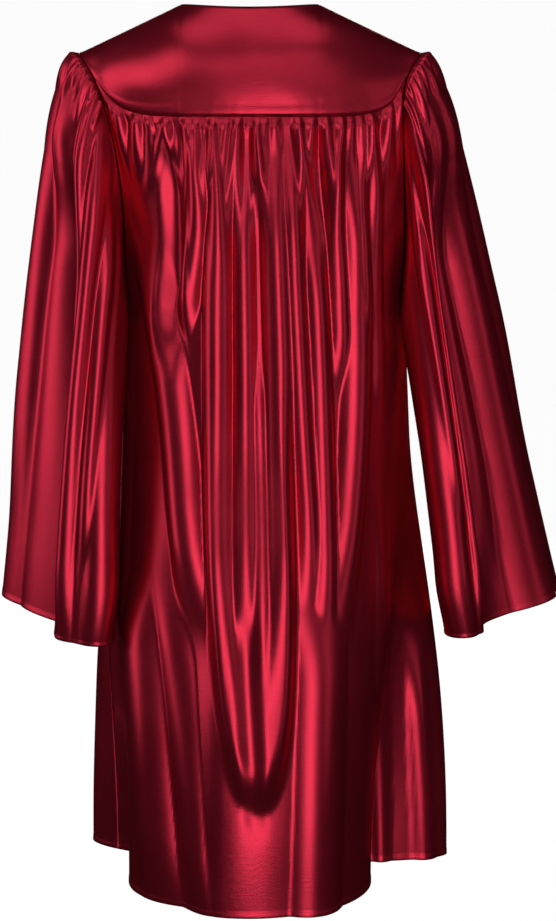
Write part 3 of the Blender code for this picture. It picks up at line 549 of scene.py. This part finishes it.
def withAllowance(points, inward):
    # The seam's allowance: one more row at the top, tucked under the neighbouring piece.
    tuck, rise = shellForm["allowance"]
    return np.concatenate([points[:1] + np.array([0, inward * tuck, rise]), points])


def hemRows(length, count):
    # Even rows, with closer ones round the hem's stitches.
    plain = np.linspace(0, length - 0.012, count - 9)
    close = length - np.array([0.0095, 0.0075, 0.0062, 0.0054, 0.0046, 0.0038, 0.0028, 0.0012, 0.0])
    return np.concatenate([plain, close])


def measures(points):
    # The cloth's own measure in metres at every point, across and down.
    across = np.linalg.norm(np.diff(points, axis=1), axis=-1)
    down = np.linalg.norm(np.diff(points, axis=0), axis=-1)
    u = np.concatenate([np.zeros((len(points), 1)), np.cumsum(across, axis=1)], axis=1)
    u = u - u[:, -1:] / 2
    v = np.concatenate([np.zeros((1, points.shape[1])), np.cumsum(down, axis=0)], axis=0)
    return np.stack([u, v], axis=-1)


def clothShell(name, points, wall, material, body="gown", ring=False):
    rows, columns = points.shape[:2]
    bpy.ops.object.select_all(action="DESELECT")
    bpy.ops.mesh.primitive_grid_add(x_subdivisions=columns - 1, y_subdivisions=rows - 1, size=1)
    piece = bpy.context.object
    piece.name = name
    mesh = piece.data
    mesh.vertices.foreach_set("co", points.reshape(-1))
    corners = np.empty(len(mesh.loops), dtype=np.int32)
    mesh.loops.foreach_get("vertex_index", corners)
    for layer in list(mesh.uv_layers):
        mesh.uv_layers.remove(layer)
    layer = mesh.uv_layers.new(name="cloth")
    layer.data.foreach_set("uv", measures(points).reshape(-1, 2)[corners].reshape(-1))
    mesh.polygons.foreach_set("use_smooth", [True] * len(mesh.polygons))
    if ring:
        bpy.ops.object.mode_set(mode="EDIT")
        bpy.ops.mesh.select_all(action="SELECT")
        bpy.ops.mesh.remove_doubles(threshold=0.00001)
        bpy.ops.object.mode_set(mode="OBJECT")
    area = sum(face.area for face in piece.data.polygons)
    sides = len(piece.data.polygons)
    step = piece.modifiers.new("wall", "SOLIDIFY")
    step.thickness = wall
    step.offset = -1
    bpy.ops.object.modifier_apply(modifier="wall")
    # the two faces of the cloth are smooth and its cut edge is flat
    faces = len(piece.data.polygons)
    smooth = np.arange(faces) < 2 * sides
    piece.data.polygons.foreach_set("use_smooth", smooth)
    piece.data.materials.clear()
    piece.data.materials.append(material)
    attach(piece, body)
    print(name, "faces", len(piece.data.polygons), "cloth area", round(area, 4))
    return piece


closingForm = {"drops": (0.620, 0.645), "reach": 0.06, "gap": 0.0005}


def bodyShells():
    drops = hemRows(bodyForm["backSeam"] - bodyForm["hem"], shellForm["panelRows"])[:, None]
    edge = shellForm["edgeShare"]
    shares = np.linspace(-edge, edge, shellForm["backColumns"] + 1)[None, :]
    points = withAllowance(signedPoint(shares, drops, True), -1)
    back = clothShell("satinBackPanel", points, shellForm["wall"], satin)
    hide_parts("back_panel")
    for side, word in ((1, "left"), (-1, "right")):
        shares = np.linspace(0, edge, shellForm["frontColumns"] + 1)[None, :]
        points = withAllowance(signedPoint(shares + 0 * drops, drops, False, side), 1)
        # below the zip the front edges come together
        gap = bodyForm["frontGap"]
        closed = ramp(*closingForm["drops"], np.concatenate([drops[:1], drops]))
        closed = closed * ramp(closingForm["reach"], 0, np.abs(points[..., 0]) - gap)
        points[..., 0] -= side * (gap - closingForm["gap"]) * closed
        if side > 0:
            points = points[:, ::-1]
        front = clothShell("satinFront" + word.title(), points, shellForm["wall"], satin)
        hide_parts("front_" + word)


bodyShells()
print("panels made")


# The roll runs along the gathered seam, in metres above it. The leans bend the cloth down to it.
yokeForm = {"roll": 0.0014, "rollPlace": 0.0022, "rollWidth": 0.0016, "height": 0.11, "edgePower": 9,
            "backLean": (0.34, 0.63), "frontLean": (0.45, 0.70), "droop": 0.12, "puckers": 0.12,
            "puckerDrop": 0.05}


def yokeTop(share, side, back):
    tip, neckSide = bodyForm["shoulderTip"], bodyForm["neckSide"]
    run = tip[0] - neckSide
    if back:
        x = tip[0] * share
        roundNeck = np.clip(1 - (x / neckSide) ** 2, 0, 1)
        y = bodyForm["neckBack"][0] * np.sqrt(roundNeck)
        z = bodyForm["neckBack"][1] * roundNeck
    else:
        neckShare = bodyForm["frontNeckShare"]
        inner = np.clip(1 - share / neckShare, 0, 1)
        outer = np.clip((share - neckShare) / (1 - neckShare), 0, 1)
        x = neckSide + run * outer - (neckSide - bodyForm["frontGap"]) * inner ** 1.15
        y = bodyForm["neckFront"][0] * inner ** 0.8
        z = bodyForm["neckFront"][1] * inner ** 1.25
    z = z + tip[1] * np.clip((x - neckSide) / run, 0, 1)
    return np.stack([side * x, y, z], axis=-1)


def softTop(share, side, back):
    # The top edge with the neck's corners rounded off, which shapes the cloth below them.
    soft = yokeTop(share, side, back)
    if back:
        offsets = np.linspace(-1, 1, 21)
        weights = np.cos(offsets * math.pi / 2) ** 2
        near = [yokeTop(np.clip(abs(share + bodyForm["neckBlend"] * offset), 0, 1), side, True)
                for offset in offsets]
        soft[..., 1:] = np.tensordot(weights / weights.sum(), np.stack(near), 1)[..., 1:]
    return soft


def yokeCurve(share, fall, side, back):
    turn = 1 if back else -1
    top = softTop(share, side, back)
    foot = bodyPoint(share, seamHeight(share, back), side, back, folded=False)
    neckDepth = bodyForm["neckBack"][0] if back else bodyForm["neckFront"][0]
    neck = np.clip(top[..., 1] / neckDepth, 0, 1)
    flat, steep = yokeForm["backLean" if back else "frontLean"]
    lean = np.stack([0 * neck, turn * (1 - flat * neck), -yokeForm["droop"] - steep * neck], axis=-1)
    lean = lean / np.linalg.norm(lean, axis=-1, keepdims=True)
    hold = bodyForm["yokeRoundness"] * np.linalg.norm(foot - top, axis=-1, keepdims=True)
    above = top + lean * hold
    below = foot + np.array([0, -0.1 * turn, 0.995]) * hold
    fall = np.asarray(fall)[..., None]
    edge = (yokeTop(share, side, back) - top) * (1 - fall) ** yokeForm["edgePower"]
    return (edge + top * (1 - fall) ** 3 + 3 * above * fall * (1 - fall) ** 2
            + 3 * below * fall ** 2 * (1 - fall) + foot * fall ** 3)


def yokePoint(share, fall, side, back):
    share = np.broadcast_to(share, np.broadcast(share, fall).shape)
    fall = np.broadcast_to(fall, share.shape)
    turn = 1 if back else -1
    widest, tip = bodyForm["armholeWidest"], bodyForm["shoulderTip"][1]
    squared = (bodyForm["corner"] - widest) / (tip - widest)
    corner = math.acos(squared ** (1 / bodyForm["armholeSquare"]))
    edge = armholePoint(corner * fall * turn, side)
    curve = yokeCurve(share, fall, side, back)
    end = yokeCurve(np.ones_like(share), fall, side, back)
    point = curve + (edge - end) * (share ** 8)[..., None]
    point[..., 1] += turn * 0.0002 * (1 - fall) ** 3
    puckers = gatherHeight(backPlaces if back else frontPlaces,
                           point[..., 0] if back else np.abs(point[..., 0]),
                           yokeForm["puckerDrop"] * (1 - fall))
    edgeFade = ramp(1.0, 0.94, share) * ramp(0.86, 0.97, fall) * ramp(1.0, 0.985, fall)
    soft = wander(point[..., 0], 3 * point[..., 2], 4.0, 0.0003) * ramp(0, 0.2, fall) * ramp(1, 0.8, fall)
    point[..., 1] += turn * (yokeForm["puckers"] * puckers * edgeFade + soft * ramp(1.0, 0.9, share))
    # the yoke's edge is turned under along the gathered seam, so it rolls there
    depth = (1 - fall) * yokeForm["height"]
    roll = yokeForm["roll"] * np.exp(-((depth - yokeForm["rollPlace"]) / yokeForm["rollWidth"]) ** 2)
    point[..., 1] += turn * roll * ramp(1.0, 0.97, share)
    return point


def yokeShells():
    falls = np.linspace(0, 1, shellForm["yokeRows"] + 1)[:, None]
    edge = shellForm["edgeShare"]
    shares = np.linspace(-edge, edge, shellForm["yokeColumns"] + 1)[None, :]
    left = yokePoint(np.abs(shares), falls, 1, True)
    right = yokePoint(np.abs(shares), falls, -1, True)
    points = np.where(shares[..., None] >= 0, left, right)
    back = clothShell("satinYokeBack", points, shellForm["wall"], satin)
    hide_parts("yoke_back")
    for side, word in ((1, "left"), (-1, "right")):
        half = np.linspace(0, edge, shellForm["frontYokeColumns"] + 1)[None, :]
        points = yokePoint(half, falls, side, False)
        if side > 0:
            points = points[:, ::-1]
        front = clothShell("satinYokeFront" + word.title(), points, shellForm["wall"], satin)
        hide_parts("yoke_front_" + word)


yokeShells()
print("yokes made")


# Sleeves
sleeveForm = {
    1: {"cuff": (0.190, 0.022, -0.602), "longHalf": 0.120, "shortHalf": 0.044, "axisX": 0.40,
        "drop": 0.012, "flare": 0.017, "cut": {"flat": (0.52, 0.58), "area": 0.25}},
    -1: {"cuff": (0.252, 0.005, -0.598), "longHalf": 0.104, "shortHalf": 0.042, "axisX": 0.50,
         "drop": 0.015, "flare": 0.046, "cut": {"flat": (0.52, 0.58), "area": 0.25}},
    "cuffTurn": math.radians(45),
    "clearance": 0.0050,
    "gatherLength": 0.11,
    "puff": 0.005,
    "length": 0.57,
    "gatherWidth": 4.6,
    "blend": 6,
    "headOut": 0.0006,
}

# angle at the head, angle at the cuff, start, end, half width, rise; angles in degrees
sleeveFolds = {
    1: [
        (14, 12, 0.05, 0.90, 16, 0.0070),
        (40, 44, 0.08, 1.30, 16, 0.0120),
        (50, 52, 0.22, 1.60, 44, -0.0360),
        (66, 78, 0.02, 0.66, 9, 0.0085),
        (88, 96, 0.04, 1.10, 10, 0.0095),
        (108, 116, 0.06, 0.95, 10, 0.0080),
        (138, 138, 0.00, 1.10, 26, 0.0130),
        (215, 225, 0.10, 1.10, 16, 0.0070),
        (262, 268, 0.08, 1.10, 15, 0.0080),
        (300, 305, 0.06, 0.80, 15, 0.0080),
    ],
    -1: [
        (6, 8, 0.05, 0.80, 14, 0.0060),
        (28, 34, 0.08, 1.30, 16, 0.0120),
        (42, 58, 0.10, 0.95, 10, 0.0100),
        (50, 68, 0.22, 1.60, 56, -0.0400),
        (78, 100, 0.04, 1.10, 10, 0.0100),
        (106, 118, 0.05, 0.90, 10, 0.0085),
        (138, 138, 0.00, 1.10, 30, 0.0160),
        (210, 222, 0.10, 1.10, 16, 0.0070),
        (258, 262, 0.08, 1.10, 15, 0.0080),
        (300, 300, 0.06, 0.80, 15, 0.0080),
    ],
}
sleeveCreases = {
    1: [
        (36, 30, 0.02, 0.40, 6, 0.0016),
        (98, 104, 0.02, 0.42, 5, 0.0018),
        (120, 122, 0.02, 0.45, 6, 0.0018),
        (20, 26, 0.35, 1.10, 9, 0.0016),
        (76, 84, 0.50, 1.10, 8, 0.0014),
    ],
    -1: [
        (30, 36, 0.02, 0.40, 6, 0.0018),
        (66, 84, 0.02, 0.60, 6, 0.0020),
        (98, 108, 0.02, 0.45, 5, 0.0018),
        (24, 40, 0.35, 1.10, 9, 0.0018),
        (90, 100, 0.55, 1.10, 8, 0.0014),
    ],
}
sleeveGathers = (-62, -54, -46, -38, -30, -22, -15, -7, 0, 7, 14, 20, 27, 34, 40, 47, 54, 61, 68, 75)


def bodyRadii():
    # The folded body's plan radius by height and by angle from the back, to keep the sleeves off it.
    heights = np.linspace(bodyForm["hem"] + 0.01, bodyForm["corner"], 110)
    angles = np.linspace(0, math.pi, 241)
    shares = np.linspace(0, 1, 161)
    tables = {}
    for side in (1, -1):
        rows = []
        for height in heights:
            level = np.full_like(shares, height)
            ring = np.concatenate([
                bodyPoint(shares, level, side, True),
                bodyPoint(shares[::-1], level, side, False),
            ])
            turn = np.arctan2(np.abs(ring[:, 0]), ring[:, 1] - bodyForm["axisY"])
            radius = np.hypot(ring[:, 0], ring[:, 1] - bodyForm["axisY"])
            rows.append(np.interp(angles, turn, radius))
        tables[side] = np.array(rows)
    return heights, angles, tables


bodyLevels, bodyAngles, bodyTable = bodyRadii()


def clearOfBody(points, side, clearance):
    x, y, z = points[..., 0], points[..., 1] - bodyForm["axisY"], points[..., 2]
    angle = np.arctan2(np.maximum(side * x, 0), y)
    radius = np.hypot(x, y)
    row = np.interp(z, bodyLevels, np.arange(len(bodyLevels)))
    column = np.interp(angle, bodyAngles, np.arange(len(bodyAngles)))
    low = np.minimum(row.astype(int), len(bodyLevels) - 2)
    left = np.minimum(column.astype(int), len(bodyAngles) - 2)
    u, v = row - low, column - left
    table = bodyTable[side]
    body = ((table[low, left] * (1 - v) + table[low, left + 1] * v) * (1 - u)
            + (table[low + 1, left] * (1 - v) + table[low + 1, left + 1] * v) * u)
    wanted = np.maximum(radius, body + clearance)
    scale = np.where(clearance > 0, wanted / radius, 1)
    moved = points.copy()
    moved[..., 0] = x * scale
    moved[..., 1] = y * scale + bodyForm["axisY"]
    return moved


def sleeveBase(angle, along, side):
    form = sleeveForm[side]
    axisX = form["axisX"]
    axisY = math.sqrt(1 - axisX ** 2)
    head = armholePoint(angle, side)
    head[..., 0] += side * sleeveForm["headOut"]
    far, near = np.cos(angle + sleeveForm["cuffTurn"]), np.sin(angle + sleeveForm["cuffTurn"])
    cuffX, cuffY, cuffZ = form["cuff"]
    cuff = np.stack([
        side * (cuffX + form["longHalf"] * axisX * far + form["shortHalf"] * axisY * near),
        cuffY - form["longHalf"] * axisY * far + form["shortHalf"] * axisX * near,
        cuffZ + form["drop"] * far,
    ], axis=-1)
    rise, reach = np.cos(angle), np.sin(angle)
    leave = np.stack([
        side * (0.024 + 0.010 * rise - 0.006 * np.abs(reach)), 0.024 * reach, -0.050 + 0.018 * rise,
    ], axis=-1)
    arrive = np.stack([-side * form["flare"] * (1 + rise) / 2, 0 * rise, 0.150 + 0.035 * rise], axis=-1)
    t = np.asarray(along)[..., None]
    return (head * (1 - t) ** 3 + 3 * (head + leave) * t * (1 - t) ** 2
            + 3 * (cuff + arrive) * t ** 2 * (1 - t) + cuff * t ** 3)


def sleeveLift(angle, along, side):
    degrees = np.degrees(angle) % 360
    ridges, troughs, small = 0, 0, 0
    blend = sleeveForm["blend"]
    for table, creases in ((sleeveFolds[side], False), (sleeveCreases[side], True)):
        for headAngle, cuffAngle, start, end, width, rise in table:
            centre = headAngle + (cuffAngle - headAngle) * along
            across = np.clip(((degrees - centre + 180) % 360 - 180) / width, -1, 1)
            ease = min(0.25, (end - start) / 3)
            envelope = ramp(start, start + ease, along) * ramp(end, end - ease, along)
            bump = abs(rise) * np.cos(across * math.pi / 2) ** 2 * envelope
            if creases:
                small = small + bump
            elif rise > 0:
                ridges = ridges + (rise * foldProfile(across) * envelope) ** blend
            else:
                troughs = troughs + bump
    for number, place in enumerate(sleeveGathers):
        across = np.clip(((degrees - place + 180) % 360 - 180) / sleeveForm["gatherWidth"], -1, 1)
        length = sleeveForm["gatherLength"] * (1 + 0.4 * math.cos(2.4 * number))
        envelope = ramp(0, 0.03, along) * ramp(length * 1.8, length * 0.4, along)
        ridges = ridges + (gatherForm["rise"] * np.cos(across * math.pi / 2) ** 2 * envelope) ** blend
    cap = np.clip(np.cos(np.radians(degrees)), 0, 1)
    puff = sleeveForm["puff"] * cap * np.sin(np.clip(along / 0.3, 0, 1) * math.pi)
    uneven = wander(0.10 * np.sin(angle), 0.6 * along + 0.1 * np.cos(angle), 5.0 + side) * ramp(0, 0.1, along)
    return ridges ** (1 / blend) - troughs + puff + small + uneven


def sleevePoint(angle, along, side):
    angle, along = np.broadcast_arrays(np.asarray(angle, float), np.asarray(along, float))
    base = sleeveBase(angle, along, side)
    around = sleeveBase(angle + 0.02, along, side) - sleeveBase(angle - 0.02, along, side)
    down = sleeveBase(angle, along + 0.01, side) - sleeveBase(angle, along - 0.01, side)
    normal = -side * np.cross(around, down)
    normal = normal / np.linalg.norm(normal, axis=-1, keepdims=True)
    lift = sleeveLift(angle, along, side) + hemRelief(sleeveForm["length"] * (1 - along))
    point = base + normal * lift[..., None]
    clear = clearOfBody(point, side, sleeveForm["clearance"] * ramp(0.01, 0.12, along))
    return point + (clear - point) * ramp(0, 0.06, along)[..., None]


def sleeveShells():
    length = sleeveForm["length"]
    alongs = (hemRows(length, shellForm["sleeveRows"]) / length)[:, None]
    for side, word in ((1, "Left"), (-1, "Right")):
        angles = np.linspace(0, 2 * math.pi, shellForm["sleeveColumns"] + 1)
        if side > 0:
            angles = angles[::-1]
        points = sleevePoint(angles[None, :], alongs, side)
        points[:, -1] = points[:, 0]
        sleeve = clothShell("satinSleeve" + word, points, shellForm["wall"], satin, ring=True)
        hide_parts("sleeve_" + word.lower())


sleeveShells()
print("sleeves made")


# Sewing
stitchForm = {"pitch": 0.0030, "length": 0.0021, "radius": 0.00022}


def evenly(points, normals, pitch):
    steps = np.linalg.norm(np.diff(points, axis=0), axis=1)
    reach = np.concatenate([[0], np.cumsum(steps)])
    places = np.arange(pitch / 2, reach[-1], pitch)
    spots = np.stack([np.interp(places, reach, points[:, k]) for k in range(3)], axis=1)
    outs = np.stack([np.interp(places, reach, normals[:, k]) for k in range(3)], axis=1)
    ahead = np.stack([np.interp(places + 0.0003, reach, points[:, k]) for k in range(3)], axis=1)
    return spots, outs / np.linalg.norm(outs, axis=1, keepdims=True), ahead - spots


def repeated(name, model, spots, outs, aheads, material):
    # Copies of one small model: its X runs along the row and its Z out of the cloth.
    shape = np.array([corner.co[:] for corner in model.data.vertices])
    faces = [tuple(face.vertices) for face in model.data.polygons]
    bpy.data.objects.remove(model)
    alongs = aheads / np.linalg.norm(aheads, axis=1, keepdims=True)
    sides = np.cross(outs, alongs)
    sides = sides / np.linalg.norm(sides, axis=1, keepdims=True)
    outs = np.cross(alongs, sides)
    places = (spots[:, None] + shape[None, :, :1] * alongs[:, None] + shape[None, :, 1:2] * sides[:, None]
              + shape[None, :, 2:] * outs[:, None])
    corners = [tuple(number * len(shape) + corner for corner in face)
               for number in range(len(spots)) for face in faces]
    mesh = bpy.data.meshes.new(name)
    mesh.from_pydata(places.reshape(-1, 3).tolist(), [], corners)
    mesh.polygons.foreach_set("use_smooth", [True] * len(mesh.polygons))
    mesh.materials.append(material)
    piece = bpy.data.objects.new(name, mesh)
    bpy.context.scene.collection.objects.link(piece)
    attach(piece, "gown")
    print(name, "copies", len(spots))
    return piece


def smallBall(size, segments=6, rings=4):
    bpy.ops.object.select_all(action="DESELECT")
    bpy.ops.mesh.primitive_uv_sphere_add(segments=segments, ring_count=rings, radius=1)
    model = bpy.context.object
    bpy.ops.object.mode_set(mode="EDIT")
    bpy.ops.mesh.select_all(action="SELECT")
    bpy.ops.transform.resize(value=size)
    bpy.ops.object.mode_set(mode="OBJECT")
    return model


def rowNormals(line, before, after):
    # Outward directions along a row from the rows above and below it.
    along = np.gradient(line, axis=0)
    normal = np.cross(along, after - before)
    return normal / np.linalg.norm(normal, axis=-1, keepdims=True)


def stitchRow(name, surface, reverse):
    # surface(d) gives the row of points at a distance d above the edge.
    above = hemForm["stitches"]
    line = surface(above)
    normals = rowNormals(line, surface(above + 0.001), surface(above - 0.001))
    if reverse:
        normals = -normals
    spots, outs, aheads = evenly(line, normals, stitchForm["pitch"])
    size = (stitchForm["length"] / 2, stitchForm["radius"], stitchForm["radius"])
    repeated(name, smallBall(size), spots, outs, aheads, thread)


def sewing():
    length, sleeveLength = bodyForm["backSeam"] - bodyForm["hem"], sleeveForm["length"]
    shares = np.linspace(-0.998, 0.998, 500)[None, :]
    stitchRow("hemStitchesBack", lambda d: signedPoint(shares, np.array([[length - d]]), True)[0], False)
    for side, word in ((1, "Left"), (-1, "Right")):
        half = np.linspace(0.004, 0.998, 300)[None, :]
        stitchRow("hemStitches" + word, lambda d: signedPoint(half, np.array([[length - d]]), False, side)[0],
                  side > 0)
        angles = np.linspace(0, 2 * math.pi, 500)[None, :]
        stitchRow("cuffStitches" + word,
                  lambda d: sleevePoint(angles, np.array([[1 - d / sleeveLength]]), side)[0], side > 0)


sewing()
print("stitches made")


# Zip: two tapes, a row of coil teeth and the slider with its tab
zipForm = {"rows": 150, "end": 0.62, "yokeFalls": (0.2, 0.97, 26), "toothPitch": 0.0015,
           "toothSize": (0.00042, 0.0016, 0.00055), "toothStagger": 0.0007, "teethDepth": 0.0002,
           "tapeWall": 0.0006, "tapeEdge": 0.0002, "tapeDepth": 0.0016, "tapeShare": 0.02}


def zipTape(side):
    drops = np.linspace(0, zipForm["end"], zipForm["rows"])[:, None]
    falls = np.linspace(*zipForm["yokeFalls"])[:, None]
    shares = np.array([[0.0, zipForm["tapeShare"]]])
    yoke = yokePoint(shares, falls, side, False)
    panel = signedPoint(shares + 0 * drops, drops, False, side)
    return np.concatenate([yoke, panel])


def zipNormals(line):
    # Directions out of the cloth along the middle of the front.
    along = np.gradient(line, axis=0)
    normal = np.stack([0 * along[:, 0], along[:, 2], -along[:, 1]], axis=-1)
    return normal / np.linalg.norm(normal, axis=-1, keepdims=True)


def zipPieces():
    for side, word in ((1, "Left"), (-1, "Right")):
        points = zipTape(side)
        inner = points[:, :1].copy()
        inner[..., 0] = side * zipForm["tapeEdge"]
        columns = np.concatenate([inner, points], axis=1)
        columns = columns - zipNormals(columns[:, 0])[:, None] * zipForm["tapeDepth"]
        if side > 0:
            columns = columns[:, ::-1]
        fine = []
        for share in np.linspace(0, 2, 7):
            cell = min(int(share), 1)
            fine.append(columns[:, cell] * (1 - (share - cell)) + columns[:, cell + 1] * (share - cell))
        tape = clothShell("zipTape" + word, np.stack(fine, axis=1), zipForm["tapeWall"], tapeCloth)
        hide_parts("zip_tape_" + word.lower())
    line = zipTape(1)[:, 0].copy()
    line[:, 0] = 0
    normal = zipNormals(line)
    line = line - normal * zipForm["teethDepth"]
    spots, outs, aheads = evenly(line, normal, zipForm["toothPitch"])
    stagger = zipForm["toothStagger"]
    spots[:, 0] += np.where(np.arange(len(spots)) % 2 == 0, stagger, -stagger)
    teeth = repeated("zipTeeth", smallBall(zipForm["toothSize"], 8, 6), spots, outs, aheads, nylon)
    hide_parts("zip_coil")
    for name in ("zip_slider", "zip_pull"):
        node = bpy.data.objects[name]
        node.data.materials.clear()
        node.data.materials.append(enamel)


zipPieces()
print("zip made")


# Stage, light and camera
stageForm = {"floor": -0.95, "size": 12, "pale": (0.97, 0.97, 0.97),
             "floorColour": (0.02, 0.02, 0.02), "ground": (0.012, 0.012, 0.012)}
lightForm = [
    {"name": "cameraSoftbox", "place": (-0.25, 2.60, -0.30), "size": (1.3, 2.5), "power": 33},
    {"name": "highSoftbox", "place": (-0.25, 1.90, 1.75), "size": (1.9, 1.2), "power": 8},
    {"name": "topSoftbox", "place": (0.0, 0.20, 2.30), "size": (2.0, 1.6), "power": 13},
    {"name": "sideSoftboxRight", "place": (-2.10, 1.25, 0.25), "size": (0.8, 2.2), "power": 4.5},
    {"name": "sideSoftboxLeft", "place": (2.17, -0.20, 0.02), "size": (1.3, 1.6), "power": 13},
    {"name": "shoulderSoftbox", "place": (1.67, 1.21, 1.50), "size": (1.2, 1.0), "power": 10},
    {"name": "frontSoftbox", "place": (0.0, -2.60, -0.30), "size": (1.0, 1.6), "power": 20},
]
lightTarget = (0, 0, -0.40)
cameraForm = {"distance": 2.2, "height": -0.195, "focalPixels": 2200, "axisPixel": (250, 200),
              "picture": (556, 921), "sensor": 36}


def makeStage():
    bpy.ops.object.select_all(action="DESELECT")
    bpy.ops.mesh.primitive_plane_add(size=stageForm["size"], location=(0, 0, stageForm["floor"]))
    floor = bpy.context.object
    floor.name = "floor"
    material, nodes, links, shader = newMaterial("paleFloor", 0.9, 0)
    shader.inputs["Base Color"].default_value = (*stageForm["floorColour"], 1)
    shader.inputs["Emission Color"].default_value = (*stageForm["pale"], 1)
    shader.inputs["Emission Strength"].default_value = 1
    floor.data.materials.append(material)
    floor.visible_glossy = False
    floor.visible_diffuse = False
    floor.visible_shadow = False
    world = bpy.data.worlds.new("studio")
    bpy.context.scene.world = world
    world.use_nodes = True
    nodes, links = world.node_tree.nodes, world.node_tree.links
    ground = nodes["Background"]
    ground.inputs["Color"].default_value = (*stageForm["ground"], 1)
    pale = nodes.new("ShaderNodeBackground")
    pale.inputs["Color"].default_value = (*stageForm["pale"], 1)
    path = nodes.new("ShaderNodeLightPath")
    mix = nodes.new("ShaderNodeMixShader")
    links.new(path.outputs["Is Camera Ray"], mix.inputs["Fac"])
    links.new(ground.outputs["Background"], mix.inputs[1])
    links.new(pale.outputs["Background"], mix.inputs[2])
    links.new(mix.outputs["Shader"], nodes["World Output"].inputs["Surface"])


def makeLights():
    target = Vector(lightTarget)
    for form in lightForm:
        data = bpy.data.lights.new(form["name"], "AREA")
        data.shape = "RECTANGLE"
        data.size, data.size_y = form["size"]
        data.energy = form["power"]
        light = bpy.data.objects.new(form["name"], data)
        bpy.context.scene.collection.objects.link(light)
        light.location = form["place"]
        light.rotation_euler = (target - light.location).to_track_quat("-Z", "Y").to_euler()


def makeCamera():
    form = cameraForm
    wide, high = form["picture"]
    data = bpy.data.cameras.new("camera")
    data.sensor_fit = "AUTO"
    data.sensor_width = form["sensor"]
    data.lens = form["focalPixels"] / high * form["sensor"]
    data.shift_x = (wide / 2 - form["axisPixel"][0]) / high
    data.shift_y = -(high / 2 - form["axisPixel"][1]) / high
    camera = bpy.data.objects.new("camera", data)
    bpy.context.scene.collection.objects.link(camera)
    camera.location = (0, form["distance"], form["height"])
    camera.rotation_euler = (math.radians(90), 0, math.radians(180))
    bpy.context.scene.camera = camera


makeStage()
makeLights()
makeCamera()
bpy.context.scene.view_settings.view_transform = "Standard"
print("stage, lights and camera made")
